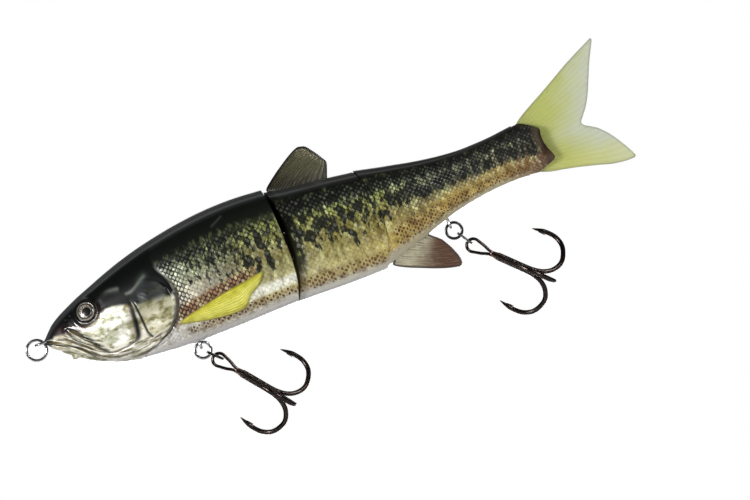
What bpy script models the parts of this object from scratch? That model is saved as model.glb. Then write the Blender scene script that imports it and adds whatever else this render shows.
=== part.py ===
"""Three-section jointed swimbait with two treble hooks and a soft tail fin.

Frame: origin in the line-tie eye at the nose, +X from nose to tail, +Z up
(dorsal side), -Y the left flank.  Lengths below are in millimetres and are
turned into metres when a mesh is made.
"""

import math

import bmesh
import bpy
from mathutils import Matrix, Vector

MM = 0.001

# ---------------------------------------------------------------- dimensions
SPLIT_GAP = 0.15          # each shell half stays this far off the centre plane
FIT_GAP = 0.30            # clearance between pieces that touch
WALL = 1.6                # shell wall

# lines plan of the body: x, top edge z, bottom edge z, half width
HEAD_LINES = (
    (1.6, 0.9, -1.3, 1.5), (3.0, 2.3, -3.1, 2.8), (5.0, 4.1, -4.9, 3.9),
    (8.0, 5.9, -7.6, 5.1), (11.0, 7.3, -9.7, 6.1), (15.0, 9.0, -11.9, 7.3),
    (20.0, 10.8, -14.0, 8.5), (25.0, 12.6, -15.3, 9.5), (32.0, 14.8, -16.3, 10.5),
    (40.0, 16.8, -17.0, 11.2), (50.0, 18.6, -17.3, 11.6), (60.0, 19.6, -17.3, 11.6),
    (70.0, 19.7, -17.1, 11.4), (81.0, 18.8, -17.0, 11.0),
)
MID_LINES = (
    (78.0, 18.3, -17.1, 10.9), (85.0, 16.9, -17.4, 10.6), (92.0, 16.0, -17.7, 10.3),
    (100.0, 14.9, -17.8, 10.0), (107.0, 13.8, -17.7, 9.7), (113.0, 13.0, -17.2, 9.4),
)
REAR_LINES = (
    (107.0, 14.2, -17.2, 9.7), (110.0, 13.5, -15.9, 9.4), (115.0, 12.3, -14.3, 8.9),
    (120.0, 11.2, -13.1, 8.3), (125.0, 10.1, -11.6, 7.6), (130.0, 9.2, -10.0, 6.8),
    (135.0, 8.5, -8.8, 6.1), (140.0, 8.1, -7.9, 5.5), (145.0, 8.1, -7.3, 5.0),
    (150.0, 8.3, -7.0, 4.6), (155.0, 8.8, -7.0, 4.3), (160.0, 9.3, -7.6, 4.1),
    (167.0, 9.6, -8.4, 3.9),
)
SECTION_POWER = 2.3       # superellipse power of every cross section
HALF_COLUMNS = 14         # facets round one shell half

# body joints: the following section turns on a vertical pin and its rounded
# front face slides in (or ahead of) the section before it
FRONT_PIN_X = 93.8
FRONT_FACE = ((-26.0, 15.8), (-17.0, 15.8), (-12.0, 15.6), (-6.0, 15.0), (0.0, 14.6),
              (6.0, 14.3), (12.0, 14.1), (18.0, 14.0), (26.0, 14.0))
REAR_PIN_X = 120.8
REAR_FACE = ((-26.0, 14.1), (-17.0, 14.0), (-8.0, 13.75), (0.0, 13.5), (8.0, 13.3),
             (14.0, 13.2), (26.0, 13.2))
FACE_GAP = 0.35
PIN_RADIUS = 1.0
PIN_BORE = 1.25
BARREL_RADIUS = 2.6
TONGUE_HALF = 1.2
BODY_SWING = 25.0         # degrees each way

# hooks and rings
RING_RADIUS = 2.45        # split ring, centre line
RING_WIRE = 0.40
NOSE_RING_RADIUS = 3.1
NOSE_RING_CENTRE = (-2.1, -1.4)
HANGER_WIRE = 0.40
FRONT_HANGER = (44.9, -17.9)
FRONT_RING_CENTRE = (45.1, -20.0)
FRONT_RING_DIR = (0.70, -0.714)
FRONT_HOOK_END = (65.0, -45.6)
FRONT_HOOK_DIR = (0.616, -0.788)
REAR_HANGER = (129.0, -11.75)
REAR_RING_CENTRE = (129.65, -14.25)
REAR_RING_DIR = (0.53, -0.848)
REAR_HOOK_END = (152.1, -39.7)
REAR_HOOK_DIR = (0.70, -0.714)
RING_PITCH = 4.05         # centre to centre of two linked rings
HOOK_LENGTH = 28.7
HOOK_WIRE = 0.62
# one hook bend: distance along the shank from its end, radius off the shank
BEND_LINE = ((-13.5, 0.62), (-9.5, 0.62), (-6.5, 0.85), (-3.6, 1.8), (-1.3, 3.8),
             (0.0, 7.0), (-0.5, 10.2), (-2.0, 12.9), (-4.6, 14.5), (-7.6, 14.8),
             (-10.2, 14.4), (-12.3, 13.9))

# fins
DORSAL_OUTLINE = ((80.6, 17.6), (81.3, 19.7), (83.0, 21.5), (85.0, 23.0), (87.5, 24.5),
                  (90.0, 25.7), (92.5, 26.5), (95.0, 27.0), (97.0, 26.3), (98.3, 24.7),
                  (99.6, 22.8), (101.0, 20.3), (101.1, 19.2), (100.2, 17.2), (99.2, 15.4),
                  (98.2, 12.6), (84.0, 14.2), (82.6, 15.4))
ANAL_OUTLINE = ((108.6, -17.2), (112.0, -19.3), (116.0, -21.0), (120.0, -22.6),
                (124.0, -24.2), (127.4, -25.1), (128.4, -24.7), (128.5, -23.2),
                (127.8, -20.5), (126.8, -18.0), (125.5, -15.5), (123.9, -13.7),
                (122.0, -12.7), (120.4, -11.0), (112.4, -12.8), (110.5, -14.6))
TAIL_BLADE = ((163.6, 11.8), (170.0, 15.1), (175.0, 17.8), (180.0, 20.5), (185.0, 22.9),
              (189.6, 25.0), (190.0, 24.6), (188.6, 21.8), (187.0, 18.8), (185.0, 14.4),
              (183.0, 9.9), (181.0, 6.4), (179.2, 4.1), (177.9, 2.5), (178.5, 1.1),
              (180.0, 0.0), (182.0, -1.3), (184.5, -4.0), (186.5, -7.0), (188.5, -10.5),
              (189.6, -13.0), (189.0, -13.8), (186.0, -13.8), (182.0, -13.1),
              (178.0, -11.9), (173.0, -10.4), (168.0, -9.2), (163.6, -8.5))
TAIL_TAB = ((150.0, -4.5), (157.6, -4.8), (158.6, -7.5), (162.0, -8.2), (162.0, 11.1),
            (158.4, 9.6), (157.6, 6.0), (150.0, 6.0))
TAIL_AXIS_X = 163.6
TAIL_HALF = 1.2           # half thickness at the root
TAIL_PIN = (153.6, 0.6)
PECTORAL_TOP = ((41.6, -9.8), (44.5, -8.7), (50.0, -7.6), (55.0, -6.6), (60.0, -5.8),
                (65.0, -5.2), (69.0, -4.5), (71.0, -4.2))
PECTORAL_BOTTOM = ((41.6, -10.2), (46.0, -11.2), (50.0, -12.1), (55.0, -12.9),
                   (60.0, -13.1), (62.5, -12.5), (65.0, -9.9), (68.0, -8.1),
                   (70.0, -6.3), (71.0, -4.8))

# eyes
EYE_CENTRE = (16.4, 4.0)
EYE_RADIUS = 3.05
EYE_AXIS = Vector((-0.12, -0.95, 0.27)).normalized()   # left eye, outwards

COLOURS = {
    "body": ((0.22, 0.22, 0.13, 1), 0.3, 0.35),
    "fin": ((0.20, 0.17, 0.10, 1), 0.45, 0.0),
    "pectoral": ((0.50, 0.50, 0.06, 1), 0.4, 0.0),
    "tail": ((0.52, 0.55, 0.30, 1), 0.4, 0.0),
    "eye": ((0.30, 0.22, 0.12, 1), 0.15, 0.3),
    "ring": ((0.62, 0.63, 0.65, 1), 0.2, 1.0),
    "hook": ((0.05, 0.045, 0.045, 1), 0.3, 1.0),
    "steel": ((0.55, 0.56, 0.58, 1), 0.25, 1.0),
    "lead": ((0.18, 0.18, 0.19, 1), 0.6, 1.0),
    "tongue": ((0.04, 0.04, 0.04, 1), 0.5, 0.0),
}


# ------------------------------------------------------------ small helpers
def curve_at(table, x, column=1):
    """Smooth value of a table column at x (cubic through the rows)."""
    n = len(table)
    if x <= table[0][0]:
        return table[0][column]
    if x >= table[-1][0]:
        return table[-1][column]
    k = max(i for i in range(n - 1) if table[i][0] <= x)

    def slope(i):
        a, b = max(i - 1, 0), min(i + 1, n - 1)
        return (table[b][column] - table[a][column]) / (table[b][0] - table[a][0])

    x0, x1 = table[k][0], table[k + 1][0]
    h = x1 - x0
    t = (x - x0) / h
    y0, y1 = table[k][column], table[k + 1][column]
    m0, m1 = slope(k) * h, slope(k + 1) * h
    return ((2 * t**3 - 3 * t**2 + 1) * y0 + (t**3 - 2 * t**2 + t) * m0
            + (-2 * t**3 + 3 * t**2) * y1 + (t**3 - t**2) * m1)


def section_point(lines, x, phi, inset=0.0):
    """(y, z) of the cross section at x; phi runs from 0 on top to pi below."""
    top = curve_at(lines, x, 1) - inset
    bottom = curve_at(lines, x, 2) + inset
    half = max(curve_at(lines, x, 3) - inset, 0.05)
    centre, height = (top + bottom) / 2, (top - bottom) / 2
    s, c = math.sin(phi), math.cos(phi)
    power = 2.0 / SECTION_POWER
    return (half * abs(s) ** power, centre + height * math.copysign(abs(c) ** power, c))


def flank_y(lines, x, z):
    """Half width of the body at a height z of the section at x."""
    top, bottom = curve_at(lines, x, 1), curve_at(lines, x, 2)
    centre, height = (top + bottom) / 2, (top - bottom) / 2
    t = min(abs((z - centre) / height), 1.0)
    return curve_at(lines, x, 3) * (1 - t**SECTION_POWER) ** (1 / SECTION_POWER)


def new_object(name, bm, colour=None, cutter=False):
    bmesh.ops.remove_doubles(bm, verts=bm.verts, dist=1e-7)
    bmesh.ops.recalc_face_normals(bm, faces=bm.faces)
    mesh = bpy.data.meshes.new(name)
    bm.to_mesh(mesh)
    bm.free()
    obj = bpy.data.objects.new(name, mesh)
    bpy.context.scene.collection.objects.link(obj)
    if cutter:
        obj.hide_render = True
        obj.display_type = "WIRE"
    else:
        mesh.materials.append(material(colour))
    return obj


def material(key):
    mat = bpy.data.materials.get("swimbait_" + key)
    if mat is None:
        mat = bpy.data.materials.new("swimbait_" + key)
        mat.use_nodes = True
        colour, roughness, metallic = COLOURS[key]
        bsdf = mat.node_tree.nodes["Principled BSDF"]
        bsdf.inputs["Base Color"].default_value = colour
        bsdf.inputs["Roughness"].default_value = roughness
        bsdf.inputs["Metallic"].default_value = metallic
        mat.diffuse_color = colour
    return mat


def loft(rows, closed=False):
    """A closed solid from rows of points; each row is a loop."""
    bm = bmesh.new()
    loops = [[bm.verts.new([c * MM for c in p]) for p in row] for row in rows]
    count = len(loops[0])
    pairs = list(zip(loops, loops[1:]))
    if closed:
        pairs.append((loops[-1], loops[0]))
    for a, b in pairs:
        for i in range(count):
            j = (i + 1) % count
            bm.faces.new((a[i], a[j], b[j], b[i]))
    if not closed:
        bm.faces.new(loops[0])
        bm.faces.new(list(reversed(loops[-1])))
    return bm


def box(name, low, high):
    (x0, y0, z0), (x1, y1, z1) = low, high
    rows = [[(x0, y0, z), (x1, y0, z), (x1, y1, z), (x0, y1, z)] for z in (z0, z1)]
    return new_object(name, loft(rows), cutter=True)


def prism(name, outline, z0, z1):
    rows = [[(x, y, z) for x, y in outline] for z in (z0, z1)]
    return new_object(name, loft(rows), cutter=True)


def turned(centre, axis, profile, sides=20):
    """A turned solid: profile is (radius, distance along axis)."""
    axis = Vector(axis).normalized()
    side = axis.orthogonal().normalized()
    other = axis.cross(side)
    rows = []
    for radius, along in profile:
        middle = Vector(centre) + axis * along
        rows.append([middle + (side * math.cos(a) + other * math.sin(a)) * radius
                     for a in (2 * math.pi * k / sides for k in range(sides))])
    return loft(rows)


def tube(path, radius, sides=6, closed=False, plane=None):
    """A round wire along a path; radius is a number or one per point."""
    points = [Vector(p) for p in path]
    n = len(points)
    radii = radius if isinstance(radius, (list, tuple)) else [radius] * n
    rows, side = [], None
    for i, p in enumerate(points):
        before = points[(i - 1) % n] if closed or i else p
        after = points[(i + 1) % n] if closed or i < n - 1 else p
        along = (after - before).normalized()
        if plane is not None:
            side = Vector(plane).normalized()
        elif side is None:
            side = along.orthogonal().normalized()
        side = (side - along * side.dot(along)).normalized()
        other = along.cross(side)
        rows.append([p + (side * math.cos(a) + other * math.sin(a)) * radii[i]
                     for a in (2 * math.pi * (k + 0.5) / sides for k in range(sides))])
    return loft(rows, closed)


def smooth_path(points, per_span):
    """Catmull-Rom points through the given ones."""
    pts = [Vector(p) for p in points]
    out = []
    for i in range(len(pts) - 1):
        p0, p1 = pts[max(i - 1, 0)], pts[i]
        p2, p3 = pts[i + 1], pts[min(i + 2, len(pts) - 1)]
        for k in range(per_span):
            t = k / per_span
            out.append(0.5 * ((2 * p1) + (p2 - p0) * t + (2 * p0 - 5 * p1 + 4 * p2 - p3) * t**2
                              + (3 * p1 - 3 * p2 + p3 - p0) * t**3))
    out.append(pts[-1])
    return out


def combine(obj, other, operation="DIFFERENCE"):
    """Applies one exact Boolean and removes the tool object."""
    mod = obj.modifiers.new("cut", "BOOLEAN")
    mod.operation = operation
    mod.solver = "EXACT"
    mod.object = other
    graph = bpy.context.evaluated_depsgraph_get()
    graph.update()
    mesh = bpy.data.meshes.new_from_object(obj.evaluated_get(graph))
    old = obj.data
    obj.modifiers.clear()
    obj.data = mesh
    mesh.name = old.name
    bpy.data.meshes.remove(old)
    bpy.data.objects.remove(other)


def tidy(obj):
    bm = bmesh.new()
    bm.from_mesh(obj.data)
    bmesh.ops.remove_doubles(bm, verts=bm.verts, dist=4e-6)
    bmesh.ops.dissolve_degenerate(bm, dist=1e-6, edges=bm.edges)
    bmesh.ops.triangulate(bm, faces=[f for f in bm.faces if len(f.verts) > 4])
    bm.to_mesh(obj.data)
    bm.free()
    smooth(obj)


def smooth(obj):
    obj.data.shade_smooth()
    obj.data.set_sharp_from_angle(angle=math.radians(35))


def set_origin(obj, point):
    """Moves the object's origin to a world point without moving its shape."""
    shift = Vector(point) * MM
    obj.data.transform(Matrix.Translation(-shift))
    obj.location = shift


# ------------------------------------------------------------- shell pieces
def half_solid(lines, stations, side, end_x=None, warp_from=0.0):
    """Solid half body on one side of the centre plane (side -1 left, +1 right)."""
    rows = []
    last = stations[-1]
    for x in stations:
        row = []
        for k in range(HALF_COLUMNS + 1):
            phi = math.pi * k / HALF_COLUMNS
            px = x
            if end_x is not None and x > warp_from:
                z = section_point(lines, x, phi)[1]
                px = x + (end_x(z) - last) * (x - warp_from) / (last - warp_from)
            y, z = section_point(lines, px, phi)
            row.append((px, side * max(y, SPLIT_GAP), z))
        rows.append(row)
    return loft(rows)


def cavity(name, lines, stations, wall):
    rows = []
    for x in stations:
        row = []
        for k in range(2 * HALF_COLUMNS):
            phi = math.pi * k / HALF_COLUMNS
            y, z = section_point(lines, x, phi if phi <= math.pi else 2 * math.pi - phi, wall)
            row.append((x, y if phi <= math.pi else -y, z))
        rows.append(row)
    return new_object(name, loft(rows), cutter=True)


def ahead_of_face(name, pin_x, face):
    """Everything in front of a rounded front face that turns about the pin."""
    rows = []
    for z, radius in face:
        arc = [math.pi / 2 + math.pi * k / 24 for k in range(25)]
        row = [(pin_x + radius * math.cos(a), radius * math.sin(a), z) for a in arc]
        row += [(pin_x, -24.0, z), (pin_x - 34, -24.0, z), (pin_x - 34, 24.0, z), (pin_x, 24.0, z)]
        rows.append(row)
    return new_object(name, loft(rows), cutter=True)


def inside_face(name, pin_x, face, gap):
    """The space that a rounded front face sweeps, with its clearance."""
    rows = []
    for z, radius in face:
        rows.append([(pin_x + (radius + gap) * math.cos(a), (radius + gap) * math.sin(a), z)
                     for a in (2 * math.pi * k / 48 for k in range(48))])
    return new_object(name, loft(rows), cutter=True)


def tongue_window(name, pin_x, reach, z0, z1):
    """Wedge that the hinge tongue swings in."""
    swing = math.radians(BODY_SWING)
    clear = FIT_GAP + 0.1
    corner = (reach * math.cos(swing), reach * math.sin(swing) + TONGUE_HALF / math.cos(swing) + clear)
    slope = (corner[1] - BARREL_RADIUS - clear) / corner[0]
    far = reach + 3.0
    wide = BARREL_RADIUS + clear + slope * far
    near = BARREL_RADIUS + clear
    outline = [(pin_x - far, -wide), (pin_x, -near), (pin_x + near * 0.7, -near * 0.7),
               (pin_x + near, 0.0), (pin_x + near * 0.7, near * 0.7), (pin_x, near),
               (pin_x - far, wide)]
    return prism(name, outline, z0, z1)


def plate(outline, half_at):
    """A flat fin in the centre plane; half_at(x, z) is its half thickness."""
    rows = [[(x, s * half_at(x, z), z) for x, z in outline] for s in (-1, 1)]
    return loft(rows)


def eye_wire(to_world, arc_radius, arc_centre, leg_start, leg_end, leg_half):
    """A wire eye: leg, half loop, leg.  u runs from the loop to the legs."""
    path = [(leg_end, -leg_half), (leg_start, -leg_half)]
    path += [((leg_start + arc_centre) / 2, -(leg_half + arc_radius) / 2 - 0.12)]
    for k in range(13):
        a = math.pi * k / 12
        path.append((arc_centre - arc_radius * math.sin(a), -arc_radius * math.cos(a)))
    path += [((leg_start + arc_centre) / 2, (leg_half + arc_radius) / 2 + 0.12)]
    path += [(leg_start, leg_half), (leg_end, leg_half)]
    return [to_world(u, v) for u, v in path]


# -------------------------------------------------------------------- build
for old in list(bpy.data.objects):
    bpy.data.objects.remove(old, do_unlink=True)


def head_end_x(z):
    table = ((-18.0, 77.6), (-15.0, 78.4), (-12.0, 79.5), (-8.0, 80.2), (-3.0, 80.6),
             (5.0, 80.6), (12.0, 80.4), (16.0, 79.9), (20.0, 79.0))
    return curve_at(table, z)


HEAD_STATIONS = (1.6, 2.2, 3.4, 5.0, 7.0, 9.5, 12.5, 16.0, 20.0, 25.0, 31.0, 38.0, 46.0,
                 55.0, 64.0, 72.0, 80.6)
MID_STATIONS = (78.0, 82.0, 87.0, 93.0, 100.0, 106.0, 112.6)
REAR_STATIONS = (107.0, 110.0, 114.0, 118.0, 122.0, 126.0, 130.0, 135.0, 140.0, 145.0,
                 150.0, 155.0, 160.0, 166.6)


def nose_path():
    return eye_wire(lambda u, v: (u, v, 0.0), 1.45, -0.30, 3.2, 9.4, 0.56)


def front_hanger_path():
    x, z = FRONT_HANGER
    return eye_wire(lambda u, v: (x, v, z + u), 1.4, 0.0, 2.6, 7.2, 0.52)


def rear_hanger_path():
    x, z = REAR_HANGER
    return eye_wire(lambda u, v: (x, v, z + u), 1.4, 0.0, 2.6, 6.6, 0.52)


def eye_place(side):
    x, z = EYE_CENTRE
    axis = Vector((EYE_AXIS.x, side * abs(EYE_AXIS.y), EYE_AXIS.z))
    y = side * flank_y(HEAD_LINES, x, z)
    return Vector((x, y, z)), axis


def ballast_solid(x0, x1, z, radius):
    profile = [(radius * 0.55, x0), (radius, x0 + 1.4), (radius, x1 - 1.4), (radius * 0.55, x1)]
    return turned((0, 0, z), (1, 0, 0), profile, 14)


HEAD_BALLAST = (27.0, 40.0, -10.4, 3.3)
MID_BALLAST = (88.6, 99.6, -12.6, 2.3)


def head_shell(side, name):
    end = head_end_x
    obj = new_object(name, half_solid(HEAD_LINES, HEAD_STATIONS, side, end, 64.0), "body")
    hollow = cavity("cut_hollow", HEAD_LINES, (21.0, 25.0, 30.0, 36.0, 43.0, 51.0, 60.0, 69.0), WALL)
    boss = box("keep_boss", (42.4, -12.0, -20.0), (47.4, 12.0, -10.2))
    combine(hollow, boss)
    for x in (29.5, 36.5):
        combine(hollow, box("keep_rib", (x, -12.0, -20.0), (x + 1.2, 12.0, -14.0)))
    combine(obj, hollow)
    combine(obj, inside_face("cut_face", FRONT_PIN_X, FRONT_FACE, FACE_GAP))
    # pocket for the root of the front hinge tongue and the slot its web leaves by
    combine(obj, box("cut_root", (72.2, -3.5, -4.5), (76.4, 3.5, 4.5)))
    combine(obj, box("cut_web", (76.0, -1.5, -4.5), (82.0, 1.5, 4.5)))
    # groove of the line-tie wire and of the hook hanger, recess under the belly
    combine(obj, new_object("cut_tie", tube(nose_path(), 0.64, 6, plane=(0, 0, 1)), cutter=True))
    combine(obj, new_object("cut_hanger", tube(front_hanger_path(), 0.62, 6, plane=(1, 0, 0)), cutter=True))
    combine(obj, box("cut_recess", (41.6, -1.9, -19.0), (48.2, 1.9, -15.9)))
    # eye socket
    place, axis = eye_place(side)
    combine(obj, new_object("cut_eye", turned(place, axis, [(3.35, -1.7), (3.35, 5.0)], 24), cutter=True))
    tidy(obj)
    return obj


def mid_shell(side, name):
    obj = new_object(name, half_solid(MID_LINES, MID_STATIONS, side), "body")
    hollow = cavity("cut_hollow", MID_LINES, (86.6, 92.0, 97.0, 101.2), WALL)
    combine(hollow, box("keep_boss_top", (91.3, -12.0, 5.0), (96.3, 12.0, 20.0)))
    combine(hollow, box("keep_boss_low", (91.3, -12.0, -9.6), (96.3, 12.0, -5.0)))
    combine(obj, hollow)
    combine(obj, ahead_of_face("cut_front", FRONT_PIN_X, FRONT_FACE))
    combine(obj, inside_face("cut_rear", REAR_PIN_X, REAR_FACE, FACE_GAP))
    combine(obj, tongue_window("cut_window", FRONT_PIN_X, 14.6, -5.0, 5.0))
    combine(obj, new_object("cut_pin", turned((FRONT_PIN_X, 0, 0), (0, 0, 1),
                                              [(PIN_BORE, -8.6), (PIN_BORE, 11.2)], 16), cutter=True))
    combine(obj, box("cut_root", (102.6, -3.5, -4.9), (105.2, 3.5, 3.9)))
    combine(obj, box("cut_web", (104.8, -1.5, -4.9), (113.0, 1.5, 3.9)))
    # slot for the dorsal fin root
    slot = [(x, z) for x, z in DORSAL_OUTLINE]
    cx = sum(p[0] for p in slot) / len(slot)
    grown = [(x + (0.35 if x > cx else -0.35), z - 0.35 if z < 16 else z) for x, z in slot]
    combine(obj, new_object("cut_fin", plate(grown, lambda x, z: 1.15), cutter=True))
    tidy(obj)
    return obj


def rear_shell(side, name):
    def end(z):
        table = ((-8.6, 160.2), (-7.6, 161.0), (-6.6, 163.2), (-5.4, 165.8), (-4.4, 166.5),
                 (-1.5, 165.4), (0.5, 164.9), (3.0, 164.8), (5.2, 165.0), (7.0, 162.9),
                 (8.8, 160.4), (9.8, 158.6))
        return curve_at(table, z)

    obj = new_object(name, half_solid(REAR_LINES, REAR_STATIONS, side, end, 155.0), "body")
    hollow = cavity("cut_hollow", REAR_LINES, (113.6, 118.0, 123.0, 128.0, 134.0, 140.0, 146.0), WALL)
    combine(hollow, box("keep_boss_top", (118.3, -12.0, 3.9), (123.3, 12.0, 14.0)))
    combine(hollow, box("keep_boss_low", (118.3, -12.0, -16.0), (123.3, 12.0, -4.9)))
    combine(hollow, box("keep_hanger", (126.9, -12.0, -16.0), (131.1, 12.0, -4.4)))
    combine(obj, hollow)
    combine(obj, ahead_of_face("cut_front", REAR_PIN_X, REAR_FACE))
    combine(obj, tongue_window("cut_window", REAR_PIN_X, 13.8, -4.9, 3.9))
    combine(obj, new_object("cut_pin", turned((REAR_PIN_X, 0, 0), (0, 0, 1),
                                              [(PIN_BORE, -9.2), (PIN_BORE, 8.2)], 16), cutter=True))
    combine(obj, new_object("cut_hanger", tube(rear_hanger_path(), 0.62, 6, plane=(1, 0, 0)), cutter=True))
    # slot for the anal fin root
    cx = sum(p[0] for p in ANAL_OUTLINE) / len(ANAL_OUTLINE)
    grown = [(x + (0.35 if x > cx else -0.35), z + 0.35 if z > -15 else z) for x, z in ANAL_OUTLINE]
    combine(obj, new_object("cut_fin", plate(grown, lambda x, z: 1.15), cutter=True))
    # slot for the tab of the tail fin, open behind, flared where the fin bends
    combine(obj, box("cut_tab", (149.6, -1.5, -4.9), (158.4, 1.5, 6.4)))
    combine(obj, prism("cut_tail", [(157.3, -1.5), (162.6, -1.5), (169.0, -3.2), (169.0, 3.2),
                                    (162.6, 1.5), (157.3, 1.5)], -14.0, 16.0))
    x, z = TAIL_PIN
    combine(obj, new_object("cut_tail_pin", turned((x, 0, z), (0, 1, 0),
                                                   [(1.15, -3.2), (1.15, 3.2)], 16), cutter=True))
    tidy(obj)
    return obj


def hinge_tongue(name, pin_x, root_x0, root_x1, z0, z1):
    """T root held in the section ahead, web, and the barrel round the pin."""
    web = [(root_x0, -3.2), (root_x1, -3.2), (root_x1, -TONGUE_HALF), (pin_x, -TONGUE_HALF),
           (pin_x, TONGUE_HALF), (root_x1, TONGUE_HALF), (root_x1, 3.2), (root_x0, 3.2)]
    rows = [[(x, y, z) for x, y in web] for z in (z0, z1)]
    obj = new_object(name, loft(rows), "tongue")
    barrel = new_object("add_barrel", turned((pin_x, 0, 0), (0, 0, 1),
                                             [(BARREL_RADIUS, z0 - 0.0), (BARREL_RADIUS, z1 + 0.0)], 20),
                        cutter=True)
    combine(obj, barrel, "UNION")
    combine(obj, new_object("cut_bore", turned((pin_x, 0, 0), (0, 0, 1),
                                               [(PIN_BORE, z0 - 1), (PIN_BORE, z1 + 1)], 16), cutter=True))
    tidy(obj)
    return obj


def pin(name, pin_x, z0, z1, parent_point=None):
    bm = turned((pin_x, 0, 0), (0, 0, 1), [(PIN_RADIUS * 0.8, z0), (PIN_RADIUS, z0 + 0.3),
                                           (PIN_RADIUS, z1 - 0.3), (PIN_RADIUS * 0.8, z1)], 16)
    obj = new_object(name, bm, "steel")
    smooth(obj)
    set_origin(obj, (pin_x, 0, 0))
    return obj


def ring(name, centre, e1, e2, radius, wire, colour):
    c, e1, e2 = Vector(centre), Vector(e1).normalized(), Vector(e2).normalized()
    path = [c + (e1 * math.cos(a) + e2 * math.sin(a)) * radius
            for a in (2 * math.pi * k / 24 for k in range(24))]
    obj = new_object(name, tube(path, wire, 6, True, e1.cross(e2)), colour)
    smooth(obj)
    return obj


def treble_hook(name, end, direction):
    """Eye, three-wire shank and three bends 120 degrees apart, one to -Y."""
    a = Vector((direction[0], 0, direction[1])).normalized()
    e = Vector((end[0], 0, end[1]))
    p = Vector((-a.z, 0, a.x))           # in the centre plane, off the shank
    y = Vector((0, 1, 0))

    def at(s, r, q):
        return e + a * s + q * r

    # shank
    start = -HOOK_LENGTH + 6.6
    shank = turned(e, a, [(0.55, start), (1.0, start + 1.4), (1.12, -14.0), (1.15, -7.6),
                          (0.7, -5.6)], 12)
    obj = new_object(name, shank, "hook")
    # eye, a teardrop in the centre plane
    top = -HOOK_LENGTH
    loop = []
    for k in range(13):
        t = math.pi * (k / 12) * 1.16 - math.pi * 0.08
        loop.append(at(top + 2.0 - 2.0 * math.sin(t), 2.0 * math.cos(t), p))
    loop += [at(top + 5.2, -1.25, p), at(top + 7.6, -0.42, p), at(top + 7.9, 0.0, p),
             at(top + 7.6, 0.42, p), at(top + 5.2, 1.25, p)]
    combine(obj, new_object("add_eye", tube(loop, 0.45, 6, True, y), cutter=True), "UNION")
    for k in range(3):
        turn = math.radians(-90 + 120 * k)   # -90 is towards -Y
        q = (p * math.cos(turn) + y * math.sin(turn))
        path = smooth_path([at(s, r, q) for s, r in BEND_LINE], 2)
        n = len(path)
        radii = [HOOK_WIRE] * n
        for i in range(n):
            left = n - 1 - i
            if left < 5:
                radii[i] = max(HOOK_WIRE * left / 5.0, 0.09)
        side = q.cross(a)
        bend = tube(path, radii, 6, False, side)
        combine(obj, new_object("add_bend", bend, cutter=True), "UNION")
    tidy(obj)
    return obj


# head section -------------------------------------------------------------
head_shell(-1, "head_shell_left")
head_shell(1, "head_shell_right")

line_tie = new_object("line_tie_wire", tube(nose_path(), 0.425, 6, plane=(0, 0, 1)), "steel")
smooth(line_tie)

nose_ring = ring("nose_split_ring", (NOSE_RING_CENTRE[0], 0, NOSE_RING_CENTRE[1]),
                 (1, 0, 0), (0, 0, 1), NOSE_RING_RADIUS, RING_WIRE, "ring")
set_origin(nose_ring, (-1.75, 0, 0))

for side, tag in ((-1, "left"), (1, "right")):
    place, axis = eye_place(side)
    dome = [(EYE_RADIUS, -1.35), (EYE_RADIUS, 0.10), (2.75, 0.42), (2.1, 0.78), (1.2, 1.0), (0.4, 1.08)]
    eye = new_object("eye_" + tag, turned(place, axis, dome, 24), "eye")
    smooth(eye)

for side, tag in ((-1, "left"), (1, "right")):
    rows = []
    steps = 14
    for k in range(steps + 1):
        x = 41.6 + (71.0 - 41.6) * k / steps
        zu, zl = curve_at(PECTORAL_TOP, x), curve_at(PECTORAL_BOTTOM, x)
        across = [zl + (zu - zl) * j / 4 for j in range(5)]
        inner = [(x, side * (flank_y(HEAD_LINES, x, z) + 0.30), z) for z in across]
        outer = [(x, side * (flank_y(HEAD_LINES, x, z) + 0.30 + 0.35 + 0.65 * math.sin(math.pi * (j + 0.5) / 5)), z)
                 for j, z in enumerate(across)]
        rows.append(inner + list(reversed(outer)))
    fin = new_object("pectoral_fin_" + tag, loft(rows), "pectoral")
    smooth(fin)

front_hanger = new_object("front_hook_hanger", tube(front_hanger_path(), HANGER_WIRE, 6, plane=(1, 0, 0)), "steel")
smooth(front_hanger)

x0, x1, z, r = HEAD_BALLAST
weight = new_object("head_ballast_weight", ballast_solid(x0, x1, z, r), "lead")
smooth(weight)

hinge_tongue("front_hinge_tongue", FRONT_PIN_X, 72.5, 76.0, -4.2, 4.2)

# middle section -----------------------------------------------------------
mid_shell(-1, "mid_shell_left")
mid_shell(1, "mid_shell_right")
pin("front_hinge_pin", FRONT_PIN_X, -8.3, 10.9)
dorsal = new_object("dorsal_fin", plate(DORSAL_OUTLINE, lambda x, z: 0.8 if z < 17.7 else 0.8 - 0.4 * (z - 17.7) / 9.5), "fin")
smooth(dorsal)
x0, x1, z, r = MID_BALLAST
weight = new_object("mid_ballast_weight", ballast_solid(x0, x1, z, r), "lead")
smooth(weight)
hinge_tongue("rear_hinge_tongue", REAR_PIN_X, 102.9, 104.9, -4.5, 3.5)

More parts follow.
